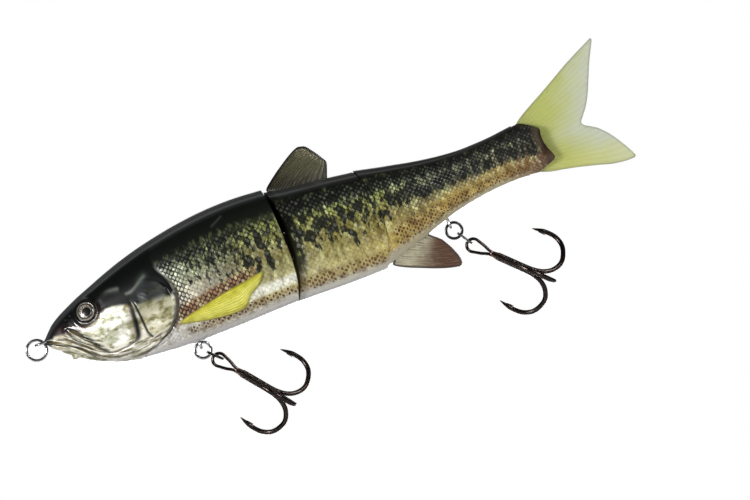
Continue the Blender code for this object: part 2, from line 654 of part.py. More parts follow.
# rear section -------------------------------------------------------------
rear_shell(-1, "rear_shell_left")
rear_shell(1, "rear_shell_right")
pin("rear_hinge_pin", REAR_PIN_X, -8.9, 7.9)
anal = new_object("anal_fin", plate(ANAL_OUTLINE, lambda x, z: 0.8 if z > -17.2 else 0.8 - 0.35 * (-17.2 - z) / 8), "fin")
smooth(anal)
rear_hanger = new_object("rear_hook_hanger", tube(rear_hanger_path(), HANGER_WIRE, 6, plane=(1, 0, 0)), "steel")
smooth(rear_hanger)
tab = new_object("tail_fin_tab", plate(TAIL_TAB, lambda x, z: TAIL_HALF), "tail")
x, z = TAIL_PIN
combine(tab, new_object("cut_bore", turned((x, 0, z), (0, 1, 0), [(1.15, -3), (1.15, 3)], 16), cutter=True))
tidy(tab)
tail_pin = new_object("tail_fin_pin", turned((x, 0, z), (0, 1, 0), [(0.7, -2.9), (0.85, -2.6), (0.85, 2.6), (0.7, 2.9)], 14), "steel")
smooth(tail_pin)


def blade_half(x, z):
    return TAIL_HALF - (TAIL_HALF - 0.45) * (x - TAIL_AXIS_X) / (190.0 - TAIL_AXIS_X)


blade = new_object("tail_fin_blade", plate(TAIL_BLADE, blade_half), "tail")
nose_round = turned((TAIL_AXIS_X, 0, 0), (0, 0, 1), [(TAIL_HALF, -8.5), (TAIL_HALF, 11.8)], 16)
combine(blade, new_object("add_round", nose_round, cutter=True), "UNION")
tidy(blade)
set_origin(blade, (TAIL_AXIS_X, 0, 0))

# hook chains --------------------------------------------------------------
for tag, centre, d2, end, direction in (
        ("front", FRONT_RING_CENTRE, FRONT_RING_DIR, FRONT_HOOK_END, FRONT_HOOK_DIR),
        ("rear", REAR_RING_CENTRE, REAR_RING_DIR, REAR_HOOK_END, REAR_HOOK_DIR)):
    c1 = Vector((centre[0], 0, centre[1]))
    d = Vector((d2[0], 0, d2[1])).normalized()
    ring(tag + "_split_ring_upper", c1, (1, 0, 0), (0, 0, 1), RING_RADIUS, RING_WIRE, "ring")
    c2 = c1 + d * RING_PITCH
    ring(tag + "_split_ring_lower", c2, d, (0, 1, 0), RING_RADIUS, RING_WIRE, "ring")
    treble_hook(tag + "_treble_hook", end, direction)

# moving pieces turn about their own joint: their origins go there
for tag, hanger, centre, d2 in (("front", FRONT_HANGER, FRONT_RING_CENTRE, FRONT_RING_DIR),
                                ("rear", REAR_HANGER, REAR_RING_CENTRE, REAR_RING_DIR)):
    d = Vector((d2[0], 0, d2[1])).normalized()
    c1 = Vector((centre[0], 0, centre[1]))
    set_origin(bpy.data.objects[tag + "_split_ring_upper"], (hanger[0], 0, hanger[1] - 1.4))
    set_origin(bpy.data.objects[tag + "_split_ring_lower"], c1 + d * RING_RADIUS)
    set_origin(bpy.data.objects[tag + "_treble_hook"], c1 + d * (RING_PITCH + RING_RADIUS))
for name in ("mid_shell_left", "mid_shell_right", "dorsal_fin", "mid_ballast_weight", "rear_hinge_tongue"):
    set_origin(bpy.data.objects[name], (FRONT_PIN_X, 0, 0))
for name in ("rear_shell_left", "rear_shell_right", "anal_fin", "rear_hook_hanger", "tail_fin_tab", "tail_fin_pin"):
    set_origin(bpy.data.objects[name], (REAR_PIN_X, 0, 0))
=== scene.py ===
"""Looks of the three-section jointed swimbait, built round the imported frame.

Lengths are in millimetres in the lure frame (+X nose to tail, +Z up, -Y the
left flank) and become metres when a mesh is made.
"""
import math

import bmesh
import bpy
import numpy as np
from mathutils import Matrix, Vector


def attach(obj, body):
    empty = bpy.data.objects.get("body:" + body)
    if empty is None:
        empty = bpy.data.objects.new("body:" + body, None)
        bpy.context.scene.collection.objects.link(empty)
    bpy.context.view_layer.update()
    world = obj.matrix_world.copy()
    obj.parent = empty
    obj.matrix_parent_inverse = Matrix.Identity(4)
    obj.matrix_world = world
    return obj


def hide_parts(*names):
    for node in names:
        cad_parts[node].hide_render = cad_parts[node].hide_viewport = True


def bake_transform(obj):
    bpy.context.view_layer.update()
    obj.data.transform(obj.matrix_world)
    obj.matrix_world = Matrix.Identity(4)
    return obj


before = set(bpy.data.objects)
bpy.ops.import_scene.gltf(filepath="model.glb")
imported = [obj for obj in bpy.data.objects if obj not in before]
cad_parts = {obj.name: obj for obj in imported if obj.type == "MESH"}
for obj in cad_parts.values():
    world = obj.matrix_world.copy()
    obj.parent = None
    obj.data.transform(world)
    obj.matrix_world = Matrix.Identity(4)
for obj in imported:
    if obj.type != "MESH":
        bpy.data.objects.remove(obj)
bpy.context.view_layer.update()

MM = 0.001

# ------------------------------------------------------------- lines plan
HEAD_LINES = (
    (1.6, 0.9, -1.3, 1.5), (3.0, 2.3, -3.1, 2.8), (5.0, 4.1, -4.9, 3.9),
    (8.0, 5.9, -7.6, 5.1), (11.0, 7.3, -9.7, 6.1), (15.0, 9.0, -11.9, 7.3),
    (20.0, 10.8, -14.0, 8.5), (25.0, 12.6, -15.3, 9.5), (32.0, 14.8, -16.3, 10.5),
    (40.0, 16.8, -17.0, 11.2), (50.0, 18.6, -17.3, 11.6), (60.0, 19.6, -17.3, 11.6),
    (70.0, 19.7, -17.1, 11.4), (81.0, 18.8, -17.0, 11.0),
)
MID_LINES = (
    (78.0, 18.3, -17.1, 10.9), (85.0, 16.9, -17.4, 10.6), (92.0, 16.0, -17.7, 10.3),
    (100.0, 14.9, -17.8, 10.0), (107.0, 13.8, -17.7, 9.7), (113.0, 13.0, -17.2, 9.4),
)
REAR_LINES = (
    (107.0, 14.2, -17.2, 9.7), (110.0, 13.5, -15.9, 9.4), (115.0, 12.3, -14.3, 8.9),
    (120.0, 11.2, -13.1, 8.3), (125.0, 10.1, -11.6, 7.6), (130.0, 9.2, -10.0, 6.8),
    (135.0, 8.5, -8.8, 6.1), (140.0, 8.1, -7.9, 5.5), (145.0, 8.1, -7.3, 5.0),
    (150.0, 8.3, -7.0, 4.6), (155.0, 8.8, -7.0, 4.3), (160.0, 9.3, -7.6, 4.1),
    (167.0, 9.6, -8.4, 3.9),
)
POWER = 2.3
FRONT_PIN_X = 93.8
FRONT_FACE = ((-26.0, 15.8), (-17.0, 15.8), (-12.0, 15.6), (-6.0, 15.0), (0.0, 14.6),
              (6.0, 14.3), (12.0, 14.1), (18.0, 14.0), (26.0, 14.0))
REAR_PIN_X = 120.8
REAR_FACE = ((-26.0, 14.1), (-17.0, 14.0), (-8.0, 13.75), (0.0, 13.5), (8.0, 13.3),
             (14.0, 13.2), (26.0, 13.2))
FACE_GAP = 0.35
SEAM = 0.05
HEAD_END = ((-18.0, 77.6), (-15.0, 78.4), (-12.0, 79.5), (-8.0, 80.2), (-3.0, 80.6),
            (5.0, 80.6), (12.0, 80.4), (16.0, 79.9), (20.0, 79.0))
REAR_END = ((-8.6, 160.2), (-7.6, 161.0), (-6.6, 163.2), (-5.4, 165.8), (-4.4, 166.5),
            (-1.5, 165.4), (0.5, 164.9), (3.0, 164.8), (5.2, 165.0), (7.0, 162.9),
            (8.8, 160.4), (9.8, 158.6))
EYE_CENTRE = (16.4, 4.0)
GILL_EDGE = ((-17.0, 24.0), (-14.3, 30.0), (-12.0, 36.0), (-10.0, 39.5), (-7.5, 41.5),
             (-4.0, 43.2), (-1.0, 43.9), (2.0, 43.7), (5.0, 42.6), (8.0, 41.0),
             (11.0, 40.4), (14.0, 41.0), (18.0, 43.5))


def curve(table, x, column=1):
    """Smooth values of a table column at x, cubic through its rows."""
    t = np.array(table, float)
    xs, ys = t[:, 0], t[:, column]
    x = np.clip(np.asarray(x, float), xs[0], xs[-1])
    k = np.clip(np.searchsorted(xs, x, side="right") - 1, 0, len(xs) - 2)
    before, after = np.maximum(np.arange(len(xs)) - 1, 0), np.minimum(np.arange(len(xs)) + 1, len(xs) - 1)
    slope = (ys[after] - ys[before]) / (xs[after] - xs[before])
    h = xs[k + 1] - xs[k]
    s = (x - xs[k]) / h
    return ((2 * s**3 - 3 * s**2 + 1) * ys[k] + (s**3 - 2 * s**2 + s) * slope[k] * h
            + (-2 * s**3 + 3 * s**2) * ys[k + 1] + (s**3 - s**2) * slope[k + 1] * h)


def section(lines, x, phi):
    top, bottom, half = (curve(lines, x, c) for c in (1, 2, 3))
    s, c = np.sin(phi), np.cos(phi)
    return (half * np.abs(s) ** (2 / POWER),
            (top + bottom) / 2 + (top - bottom) / 2 * np.sign(c) * np.abs(c) ** (2 / POWER))


def flank_y(lines, x, z):
    top, bottom = curve(lines, x, 1), curve(lines, x, 2)
    t = np.clip(np.abs((z - (top + bottom) / 2) / ((top - bottom) / 2)), 0, 1)
    return curve(lines, x, 3) * (1 - t**POWER) ** (1 / POWER)


def ramp(a, b, v):
    """Smoothstep from 0 at a to 1 at b."""
    t = np.clip((np.asarray(v, float) - a) / (b - a), 0, 1)
    return t * t * (3 - 2 * t)


def to_line(points, x, z, closed=False):
    """Distance from (x, z) to a polyline, and how far along it as 0..1."""
    p = np.array(points, float)
    if closed:
        p = np.vstack([p, p[:1]])
    best = np.full(np.shape(x), 1e9)
    along = np.zeros(np.shape(x))
    for i in range(len(p) - 1):
        a, b = p[i], p[i + 1]
        d = b - a
        t = np.clip(((x - a[0]) * d[0] + (z - a[1]) * d[1]) / (d @ d), 0, 1)
        r = np.hypot(x - a[0] - t * d[0], z - a[1] - t * d[1])
        near = r < best
        best = np.where(near, r, best)
        along = np.where(near, (i + t) / (len(p) - 1), along)
    return best, along


def inside(points, x, z):
    """Signed distance to a closed outline: positive inside."""
    d, _ = to_line(points, x, z, closed=True)
    p = np.array(points, float)
    q = np.roll(p, -1, axis=0)
    hit = np.zeros(np.shape(x), bool)
    for (ax, az), (bx, bz) in zip(p, q):
        cross = ((az > z) != (bz > z)) & (x < (bx - ax) * (z - az) / (bz - az + 1e-12) + ax)
        hit ^= cross
    return np.where(hit, d, -d)


def spline(points, per_span=8):
    """Catmull-Rom points through the given ones."""
    p = np.array(points, float)
    out = []
    for i in range(len(p) - 1):
        p0, p1 = p[max(i - 1, 0)], p[i]
        p2, p3 = p[i + 1], p[min(i + 2, len(p) - 1)]
        for k in range(per_span):
            t = k / per_span
            out.append(0.5 * (2 * p1 + (p2 - p0) * t + (2 * p0 - 5 * p1 + 4 * p2 - p3) * t**2
                              + (3 * p1 - 3 * p2 + p3 - p0) * t**3))
    out.append(p[-1])
    return np.array(out)


def even(points, count):
    """The same line with evenly spaced points."""
    p = np.array(points, float)
    d = np.r_[0, np.cumsum(np.linalg.norm(np.diff(p, axis=0), axis=1))]
    s = np.linspace(0, d[-1], count)
    return np.stack([np.interp(s, d, p[:, k]) for k in range(p.shape[1])], axis=1)


def srgb(r, g, b):
    """Linear colour of an 8-bit display colour."""
    out = []
    for c in (r, g, b):
        c = c / 255
        out.append(c / 12.92 if c <= 0.04045 else ((c + 0.055) / 1.055) ** 2.4)
    return tuple(out)


# --------------------------------------------------------------- mesh tools
def make(name, verts, faces, smooth=True, angle=35):
    mesh = bpy.data.meshes.new(name)
    v = (np.array(verts, float) * MM).tolist()
    mesh.from_pydata(v, [], [tuple(f) for f in faces])
    mesh.update()
    obj = bpy.data.objects.new(name, mesh)
    bpy.context.scene.collection.objects.link(obj)
    outward(mesh)
    if smooth:
        soften(obj, angle)
    return obj


def outward(mesh):
    bm = bmesh.new()
    bm.from_mesh(mesh)
    bmesh.ops.recalc_face_normals(bm, faces=bm.faces)
    bm.to_mesh(mesh)
    bm.free()


def soften(obj, angle=35):
    obj.data.shade_smooth()
    obj.data.set_sharp_from_angle(angle=math.radians(angle))


def loft(rows, closed=False):
    """Vertices and faces of a closed solid from rows of points."""
    rows = np.array(rows, float)
    n, m = rows.shape[:2]
    verts = rows.reshape(-1, 3)
    i = np.arange(n if closed else n - 1)
    j = np.arange(m)
    a, b = np.meshgrid(i, j, indexing="ij")
    a2, b2 = (a + 1) % n, (b + 1) % m
    quads = np.stack([a * m + b, a * m + b2, a2 * m + b2, a2 * m + b], axis=-1).reshape(-1, 4)
    faces = quads.tolist()
    if not closed:
        faces.append(list(range(m)))
        faces.append(list(range((n - 1) * m, n * m))[::-1])
    return verts, faces


def tube(path, radius, sides=14, closed=False, plane=None, flat=1.0):
    """A wire along a path; flat squeezes it across the plane's normal."""
    pts = np.array(path, float)
    n = len(pts)
    radii = np.full(n, radius, float) if np.isscalar(radius) else np.array(radius, float)
    rows, side = [], None
    for i in range(n):
        before = pts[(i - 1) % n] if closed or i else pts[i]
        after = pts[(i + 1) % n] if closed or i < n - 1 else pts[i]
        along = after - before
        along /= np.linalg.norm(along)
        if plane is not None:
            side = np.array(plane, float)
        elif side is None:
            side = np.cross(along, (0.3, 1, 0.2))
        side = side - along * side.dot(along)
        side = side / np.linalg.norm(side)
        other = np.cross(along, side)
        a = 2 * np.pi * (np.arange(sides) + 0.5) / sides
        rows.append(pts[i] + (np.outer(np.cos(a) * flat, side) + np.outer(np.sin(a), other)) * radii[i])
    return loft(rows, closed)


def turned(centre, axis, profile, sides=48):
    axis = Vector(axis).normalized()
    side = axis.orthogonal().normalized()
    other = axis.cross(side)
    c, ax, s, o = (np.array(v, float) for v in (centre, axis, side, other))
    a = 2 * np.pi * np.arange(sides) / sides
    rows = [c + ax * along + (np.outer(np.cos(a), s) + np.outer(np.sin(a), o)) * r for r, along in profile]
    return loft(rows)


def box(low, high):
    (x0, y0, z0), (x1, y1, z1) = low, high
    return loft([[(x0, y0, z), (x1, y0, z), (x1, y1, z), (x0, y1, z)] for z in (z0, z1)])


def prism(outline, z0, z1):
    return loft([[(x, y, z) for x, y in outline] for z in (z0, z1)])


def combine(obj, tools, operation="DIFFERENCE"):
    """Cuts the (vertices, faces) tools from obj as one solid, or adds them."""
    tools = [make("cutter", verts, faces, smooth=False) for verts, faces in tools]
    if operation == "DIFFERENCE" and len(tools) > 1:
        apply_booleans(tools[0], tools[1:], "UNION")
        tools = tools[:1]
    apply_booleans(obj, tools, operation)


def apply_booleans(obj, tools, operation):
    for tool in tools:
        mod = obj.modifiers.new("cut", "BOOLEAN")
        mod.operation = operation
        mod.solver = "MANIFOLD"
        mod.object = tool
        graph = bpy.context.evaluated_depsgraph_get()
        graph.update()
        mesh = bpy.data.meshes.new_from_object(obj.evaluated_get(graph))
        if len(mesh.polygons) < 4:
            mod.solver = "EXACT"
            graph.update()
            mesh = bpy.data.meshes.new_from_object(obj.evaluated_get(graph))
        old, old_tool = obj.data, tool.data
        obj.modifiers.clear()
        obj.data = mesh
        mesh.name = old.name
        bpy.data.meshes.remove(old)
        bpy.data.objects.remove(tool)
        bpy.data.meshes.remove(old_tool)


def unite(name, solids, angle=40):
    obj = make(name, *solids[0], smooth=False)
    combine(obj, solids[1:], "UNION")
    tidy(obj)
    soften(obj, angle)
    return obj


def tidy(obj, dist=2e-6):
    bm = bmesh.new()
    bm.from_mesh(obj.data)
    bmesh.ops.remove_doubles(bm, verts=bm.verts, dist=dist)
    bmesh.ops.dissolve_degenerate(bm, dist=1e-6, edges=bm.edges)
    bm.to_mesh(obj.data)
    bm.free()


def points_of(obj):
    co = np.zeros(len(obj.data.vertices) * 3)
    obj.data.vertices.foreach_get("co", co)
    return co.reshape(-1, 3) / MM


def put(obj, name, values):
    """A point attribute: three numbers, or a colour when the name is paint."""
    values = np.asarray(values, np.float32)
    if name == "paint":
        values = np.hstack([values, np.ones((len(values), 1), np.float32)])
        attribute = obj.data.attributes.new(name, "FLOAT_COLOR", "POINT")
        attribute.data.foreach_set("color", values.ravel())
    else:
        attribute = obj.data.attributes.new(name, "FLOAT_VECTOR", "POINT")
        attribute.data.foreach_set("vector", values.ravel())


def finish_piece(obj, material, body, slot, *nodes):
    obj.data.materials.clear()
    obj.data.materials.append(material)
    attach(obj, body)
    if nodes:
        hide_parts(*nodes)
    return obj


# ------------------------------------------------------------ node helpers
class Nodes:
    """Short calls for building one material."""

    def __init__(self, name):
        self.mat = bpy.data.materials.new(name)
        self.mat.use_nodes = True
        self.tree = self.mat.node_tree
        self.bsdf = self.tree.nodes["Principled BSDF"]
        self.out = self.tree.nodes["Material Output"]

    def new(self, kind, **props):
        node = self.tree.nodes.new(kind)
        for key, value in props.items():
            setattr(node, key, value)
        return node

    def link(self, a, b):
        self.tree.links.new(a, b)

    def feed(self, socket, value):
        if hasattr(value, "is_output"):
            self.link(value, socket)
        else:
            socket.default_value = value

    def math(self, op, a, b=None, c=None):
        node = self.new("ShaderNodeMath", operation=op)
        for i, v in enumerate((a, b, c)):
            if v is not None:
                self.feed(node.inputs[i], v)
        return node.outputs[0]

    def step(self, v, a, b, lo=0.0, hi=1.0):
        node = self.new("ShaderNodeMapRange", interpolation_type="SMOOTHSTEP")
        self.feed(node.inputs["Value"], v)
        for key, value in (("From Min", a), ("From Max", b), ("To Min", lo), ("To Max", hi)):
            self.feed(node.inputs[key], value)
        return node.outputs[0]

    def mix(self, factor, a, b, blend="MIX"):
        node = self.new("ShaderNodeMix", data_type="RGBA", blend_type=blend)
        self.feed(node.inputs[0], factor)
        for socket, value in ((node.inputs[6], a), (node.inputs[7], b)):
            if isinstance(value, tuple):
                value = (*value, 1.0) if len(value) == 3 else value
            self.feed(socket, value)
        return node.outputs[2]

    def scale(self, colour, amount):
        node = self.new("ShaderNodeVectorMath", operation="SCALE")
        self.feed(node.inputs[0], colour)
        self.feed(node.inputs["Scale"], amount)
        return node.outputs[0]

    def attribute(self, name, what="Vector"):
        return self.new("ShaderNodeAttribute", attribute_name=name).outputs[what]

    def split(self, vector):
        node = self.new("ShaderNodeSeparateXYZ")
        self.feed(node.inputs[0], vector)
        return node.outputs

    def join(self, x, y, z=0.0):
        node = self.new("ShaderNodeCombineXYZ")
        for i, v in enumerate((x, y, z)):
            self.feed(node.inputs[i], v)
        return node.outputs[0]

    def place(self, scale=(1, 1, 1)):
        """Position in the lure frame, which stays with the piece, in mm."""
        node = self.new("ShaderNodeVectorMath", operation="MULTIPLY")
        self.link(self.new("ShaderNodeTexCoord").outputs["Object"], node.inputs[0])
        node.inputs[1].default_value = tuple(1000 * s for s in scale)
        return node.outputs[0]

    def noise(self, vector, scale, detail=3.0, rough=0.55, out="Fac"):
        node = self.new("ShaderNodeTexNoise")
        self.feed(node.inputs["Vector"], vector)
        node.inputs["Scale"].default_value = scale
        node.inputs["Detail"].default_value = detail
        node.inputs["Roughness"].default_value = rough
        return node.outputs[out]

    def random(self, vector, out="Value"):
        node = self.new("ShaderNodeTexWhiteNoise", noise_dimensions="3D")
        self.feed(node.inputs["Vector"], vector)
        return node.outputs[out]

    def bump(self, height, distance, strength=1.0, normal=None):
        node = self.new("ShaderNodeBump")
        node.inputs["Strength"].default_value = strength
        node.inputs["Distance"].default_value = distance * MM
        self.feed(node.inputs["Height"], height)
        if normal is not None:
            self.link(normal, node.inputs["Normal"])
        return node.outputs[0]

    def set(self, **values):
        names = {"colour": "Base Color", "rough": "Roughness", "metal": "Metallic",
                 "coat": "Coat Weight", "coat_rough": "Coat Roughness", "ior": "IOR",
                 "normal": "Normal", "coat_normal": "Coat Normal", "specular": "Specular IOR Level",
                 "sheen": "Sheen Weight", "sss": "Subsurface Weight", "trans": "Transmission Weight"}
        for key, value in values.items():
            if isinstance(value, tuple) and len(value) == 3 and key == "colour":
                value = (*value, 1.0)
            self.feed(self.bsdf.inputs[names[key]], value)


# ---------------------------------------------------------------- lattice
PITCH = ((-20.0, 1.75), (44.0, 1.75), (62.0, 1.90), (90.0, 1.95), (106.0, 1.85), (118.0, 1.62), (140.0, 1.50), (170.0, 1.36))
_px = np.linspace(-20, 200, 2201)
_pu = np.concatenate([[0], np.cumsum(np.diff(_px) / curve(PITCH, (_px[1:] + _px[:-1]) / 2))])


def lattice(lines, x, phi):
    """(a, b): scale-net coordinates. Whole numbers are the net lines."""
    xs = np.linspace(lines[0][0], lines[-1][0], 70)
    ps = np.linspace(0, np.pi, 241)
    gx, gp = np.meshgrid(xs, ps, indexing="ij")
    y, z = section(lines, gx, gp)
    arc = np.concatenate([np.zeros((len(xs), 1)), np.cumsum(np.hypot(np.diff(y, axis=1), np.diff(z, axis=1)), axis=1)], axis=1)
    arc -= arc[:, 120:121]
    i = np.clip((x - xs[0]) / (xs[1] - xs[0]), 0, len(xs) - 1.001)
    j = np.clip(phi / (ps[1] - ps[0]), 0, len(ps) - 1.001)
    i0, j0 = i.astype(int), j.astype(int)
    fi, fj = i - i0, j - j0
    v = ((arc[i0, j0] * (1 - fi) + arc[i0 + 1, j0] * fi) * (1 - fj)
         + (arc[i0, j0 + 1] * (1 - fi) + arc[i0 + 1, j0 + 1] * fi) * fj)
    u = np.interp(x, _px, _pu)
    v = v / (curve(PITCH, x) * 0.94)
    return u + v, u - v


def scale_amount(kind, x, z):
    """Where the moulded and printed scales are."""
    lines = {"head": HEAD_LINES, "mid": MID_LINES, "rear": REAR_LINES}[kind]
    top, bottom = curve(lines, x, 1), curve(lines, x, 2)
    g = (top - z) / (top - bottom)
    amount = ramp(0.07, 0.15, g) * (1 - ramp(0.925, 0.96, g))
    if kind == "head":
        amount = amount * ramp(0.17, 0.28, g)
        amount = amount * ramp(0.2, 1.2, x - curve(GILL_EDGE, z))
        amount = amount * (1 - ramp(79.0, 80.6, x) * 0.2)
    if kind == "rear":
        amount = amount * (1 - ramp(161.5, 164.0, x) * 0.85)
    return amount


def scale_height(a, b):
    """Relief of one moulded scale, 0 in the groove and about 1 on its crown."""
    fa, fb = a - np.floor(a) - 0.5, b - np.floor(b) - 0.5
    r = (np.abs(fa) ** 3 + np.abs(fb) ** 3) ** (1 / 3)
    return (1 - ramp(0.28, 0.52, r)) * (0.72 + 0.28 * (fa + fb + 0.3))


# ------------------------------------------------------ head details (x, z)
PREOPERCLE = spline([(30.0, 3.0), (29.9, 0.5), (29.6, -3.0), (29.1, -7.0), (28.2, -9.4), (25.2, -10.7),
                     (20.0, -10.9), (17.8, -10.2)], 5)
OPERCLE_FRONT = spline([(31.0, 2.2), (31.2, 0.3), (31.4, -2.0), (31.6, -5.0), (31.8, -8.6), (32.6, -10.3)], 5)
OPERCLE = [(30.4, 6.4), (30.3, 0.5), (30.9, -2.0), (31.2, -5.0), (31.3, -9.2), (33.0, -10.6), (36.0, -10.5),
           (39.0, -9.2), (41.0, -6.7), (42.4, -3.6), (43.0, -1.0), (42.4, 2.0), (40.6, 4.8), (37.5, 6.6),
           (34.0, 7.3)]
SUBOPERCLE = spline([(31.6, -9.6), (33.5, -11.0), (36.3, -10.9), (39.4, -9.4), (41.4, -6.6), (42.6, -3.6)], 5)
GILL_RIM = [(43.9, -1.0), (43.2, -4.0), (41.5, -7.5), (39.5, -10.0), (36.0, -12.0), (30.0, -14.3), (24.5, -14.2)]
CHEEK = [(18.7, 1.2), (20.2, 2.8), (22.5, 3.4), (25.8, 2.8), (28.2, 1.4), (28.4, -2.0), (28.1, -5.0),
         (27.2, -8.2), (24.4, -9.8), (20.6, -9.6), (18.4, -7.6), (17.0, -4.6), (17.2, -1.6)]
MOUTH = spline([(2.2, -1.0), (5.0, -2.6), (8.0, -4.1), (10.8, -5.9), (12.8, -8.2), (14.6, -10.6)], 5)
MAXILLA_FRONT = spline([(8.6, 0.4), (10.4, -2.8), (12.8, -5.8), (14.2, -8.4), (15.2, -10.6)], 5)
MAXILLA_REAR = spline([(9.6, 1.0), (11.6, -1.4), (14.2, -4.2), (16.4, -7.4), (18.4, -10.4)], 5)
LIP_UPPER = spline([(3.4, -0.4), (6.0, -1.2), (8.6, -2.6), (10.6, -4.6), (12.6, -7.0)], 5)
JAW_LINES = (spline([(14.8, -10.9), (18.0, -12.2), (22.0, -12.7), (26.0, -12.7), (30.0, -12.4), (33.5, -11.9)], 5),
             spline([(16.0, -12.0), (20.0, -13.5), (25.0, -14.3), (30.0, -14.5), (36.0, -13.5), (40.5, -11.4)], 5))
BROW = spline([(20.6, 5.6), (22.6, 6.8), (25.0, 7.3), (27.8, 7.0)], 5)
NAPE = spline([(30.0, 4.5), (31.4, 4.6), (33.2, 5.4), (35.0, 6.6), (36.8, 7.6)], 5)
# run of the fine creases along the jaws and throat: height of one crease
CREASE = ((0.0, -0.6), (3.0, -1.6), (6.0, -3.0), (9.0, -5.0), (12.0, -7.6), (15.0, -10.2), (18.0, -11.8), (22.0, -12.8),
          (28.0, -13.0), (33.0, -12.2), (37.0, -10.9), (40.0, -8.6), (43.0, -4.5), (46.0, 0.0))
JAW_FRONT = spline([(4.0, -4.2), (7.0, -5.6), (10.5, -8.0), (13.0, -10.2)], 5)


def groove(points, x, z, depth, width):
    d, along = to_line(points, x, z)
    ends = ramp(0.0, 0.16, along) * (1 - ramp(0.90, 1.0, along))
    return -depth * np.exp(-(d / width) ** 2) * (0.08 + 0.92 * ends)


def head_relief(x, z):
    r = np.zeros(np.shape(x))
    top = curve(HEAD_LINES, x, 1)
    quiet = 1 - 0.94 * ramp(-1.5, 2.0, z)
    r += 0.30 * ramp(-0.05, 0.75, inside(OPERCLE, x, z)) * (1 - 0.85 * ramp(0.5, 5.0, z)) * np.where(x < 36, np.maximum(quiet, ramp(32, 36, x)), 1.0)
    r += 0.16 * ramp(-0.1, 1.4, inside(CHEEK, x, z))
    r += groove(PREOPERCLE, x, z, 0.50, 0.42) * quiet
    r += groove(OPERCLE_FRONT, x, z, 0.30, 0.32) * quiet
    r += groove(SUBOPERCLE, x, z, 0.28, 0.34)
    # the gill cover stands over the body behind it
    edge = x - curve(GILL_EDGE, z)
    low = 1 - ramp(3.0, 8.0, z)
    r += low * (0.26 * ramp(-5.0, -0.4, edge) * (1 - ramp(-0.3, 0.35, edge)) - 0.32 * np.exp(-((edge - 0.35) / 0.45) ** 2))
    r += groove(MOUTH, x, z, 0.70, 0.30)
    r += groove(MAXILLA_FRONT, x, z, 0.22, 0.34)
    r += groove(MAXILLA_REAR, x, z, 0.26, 0.38)
    r += groove(LIP_UPPER, x, z, 0.22, 0.28)
    d, _ = to_line(MAXILLA_FRONT, x, z)
    e, _ = to_line(MAXILLA_REAR, x, z)
    r += 0.22 * np.exp(-((d - 1.1) / 0.8) ** 2) * np.exp(-((e - 1.1) / 0.9) ** 2)
    for i, line in enumerate(JAW_LINES):
        r += groove(line, x, z, 0.30 - 0.04 * i, 0.30)
    r += groove(JAW_FRONT, x, z, 0.16, 0.36)
    # folds of the throat, eye rim, nostril, chin stud
    d = np.hypot(x - EYE_CENTRE[0], z - EYE_CENTRE[1])
    rim = ramp(0.6, 3.4, top - z)
    r += rim * (0.20 * np.exp(-((d - 3.65) / 0.50) ** 2) - 0.10 * np.exp(-((d - 5.0) / 0.6) ** 2))
    for nx, nz, rad in ((9.6, 3.5, 0.55), (11.2, 4.3, 0.42)):
        d = np.hypot(x - nx, z - nz)
        r += 0.02 * np.exp(-((d - rad * 1.4) / 0.25) ** 2) - 0.12 * np.exp(-(d / rad) ** 2)
    r += 0.85 * np.exp(-(np.hypot(x - 8.3, z + 7.7) / 0.85) ** 4)
    # cast texture of the plates: shallow hammered waves and radiating lines
    plate = ramp(0.4, 1.6, inside(OPERCLE, x, z))
    ang = np.arctan2(z - 5.0, x - 30.0)
    r += plate * 0.012 * np.sin(ang * 26 + 1.3 * np.sin(x * 0.9)) * ramp(2.5, 6.0, np.hypot(x - 30, z - 5))
    plate = ramp(0.4, 1.6, inside(CHEEK, x, z))
    r += plate * 0.05 * np.sin(0.9 * x + 1.9 * z + 1.6 * np.sin(0.8 * z)) * np.sin(0.5 * x - 0.7 * z + 1.0)
    r += 0.05 * ramp(-9.5, -12.5, z) * (1 - ramp(34, 42, x)) * np.sin(2.4 * (z + 0.10 * x) + 0.8 * np.sin(0.5 * x))
    # two low wrinkles behind the eye
    r += 0.10 * np.exp(-(to_line(BROW, x, z)[0] / 0.9) ** 2)
    d, along = to_line(NAPE, x, z)
    r += 0.08 * np.exp(-(d / 0.6) ** 2) * ramp(0.0, 0.5, along)
    return r * ramp(1.6, 3.4, x) * (1 - ramp(46, 50, x))


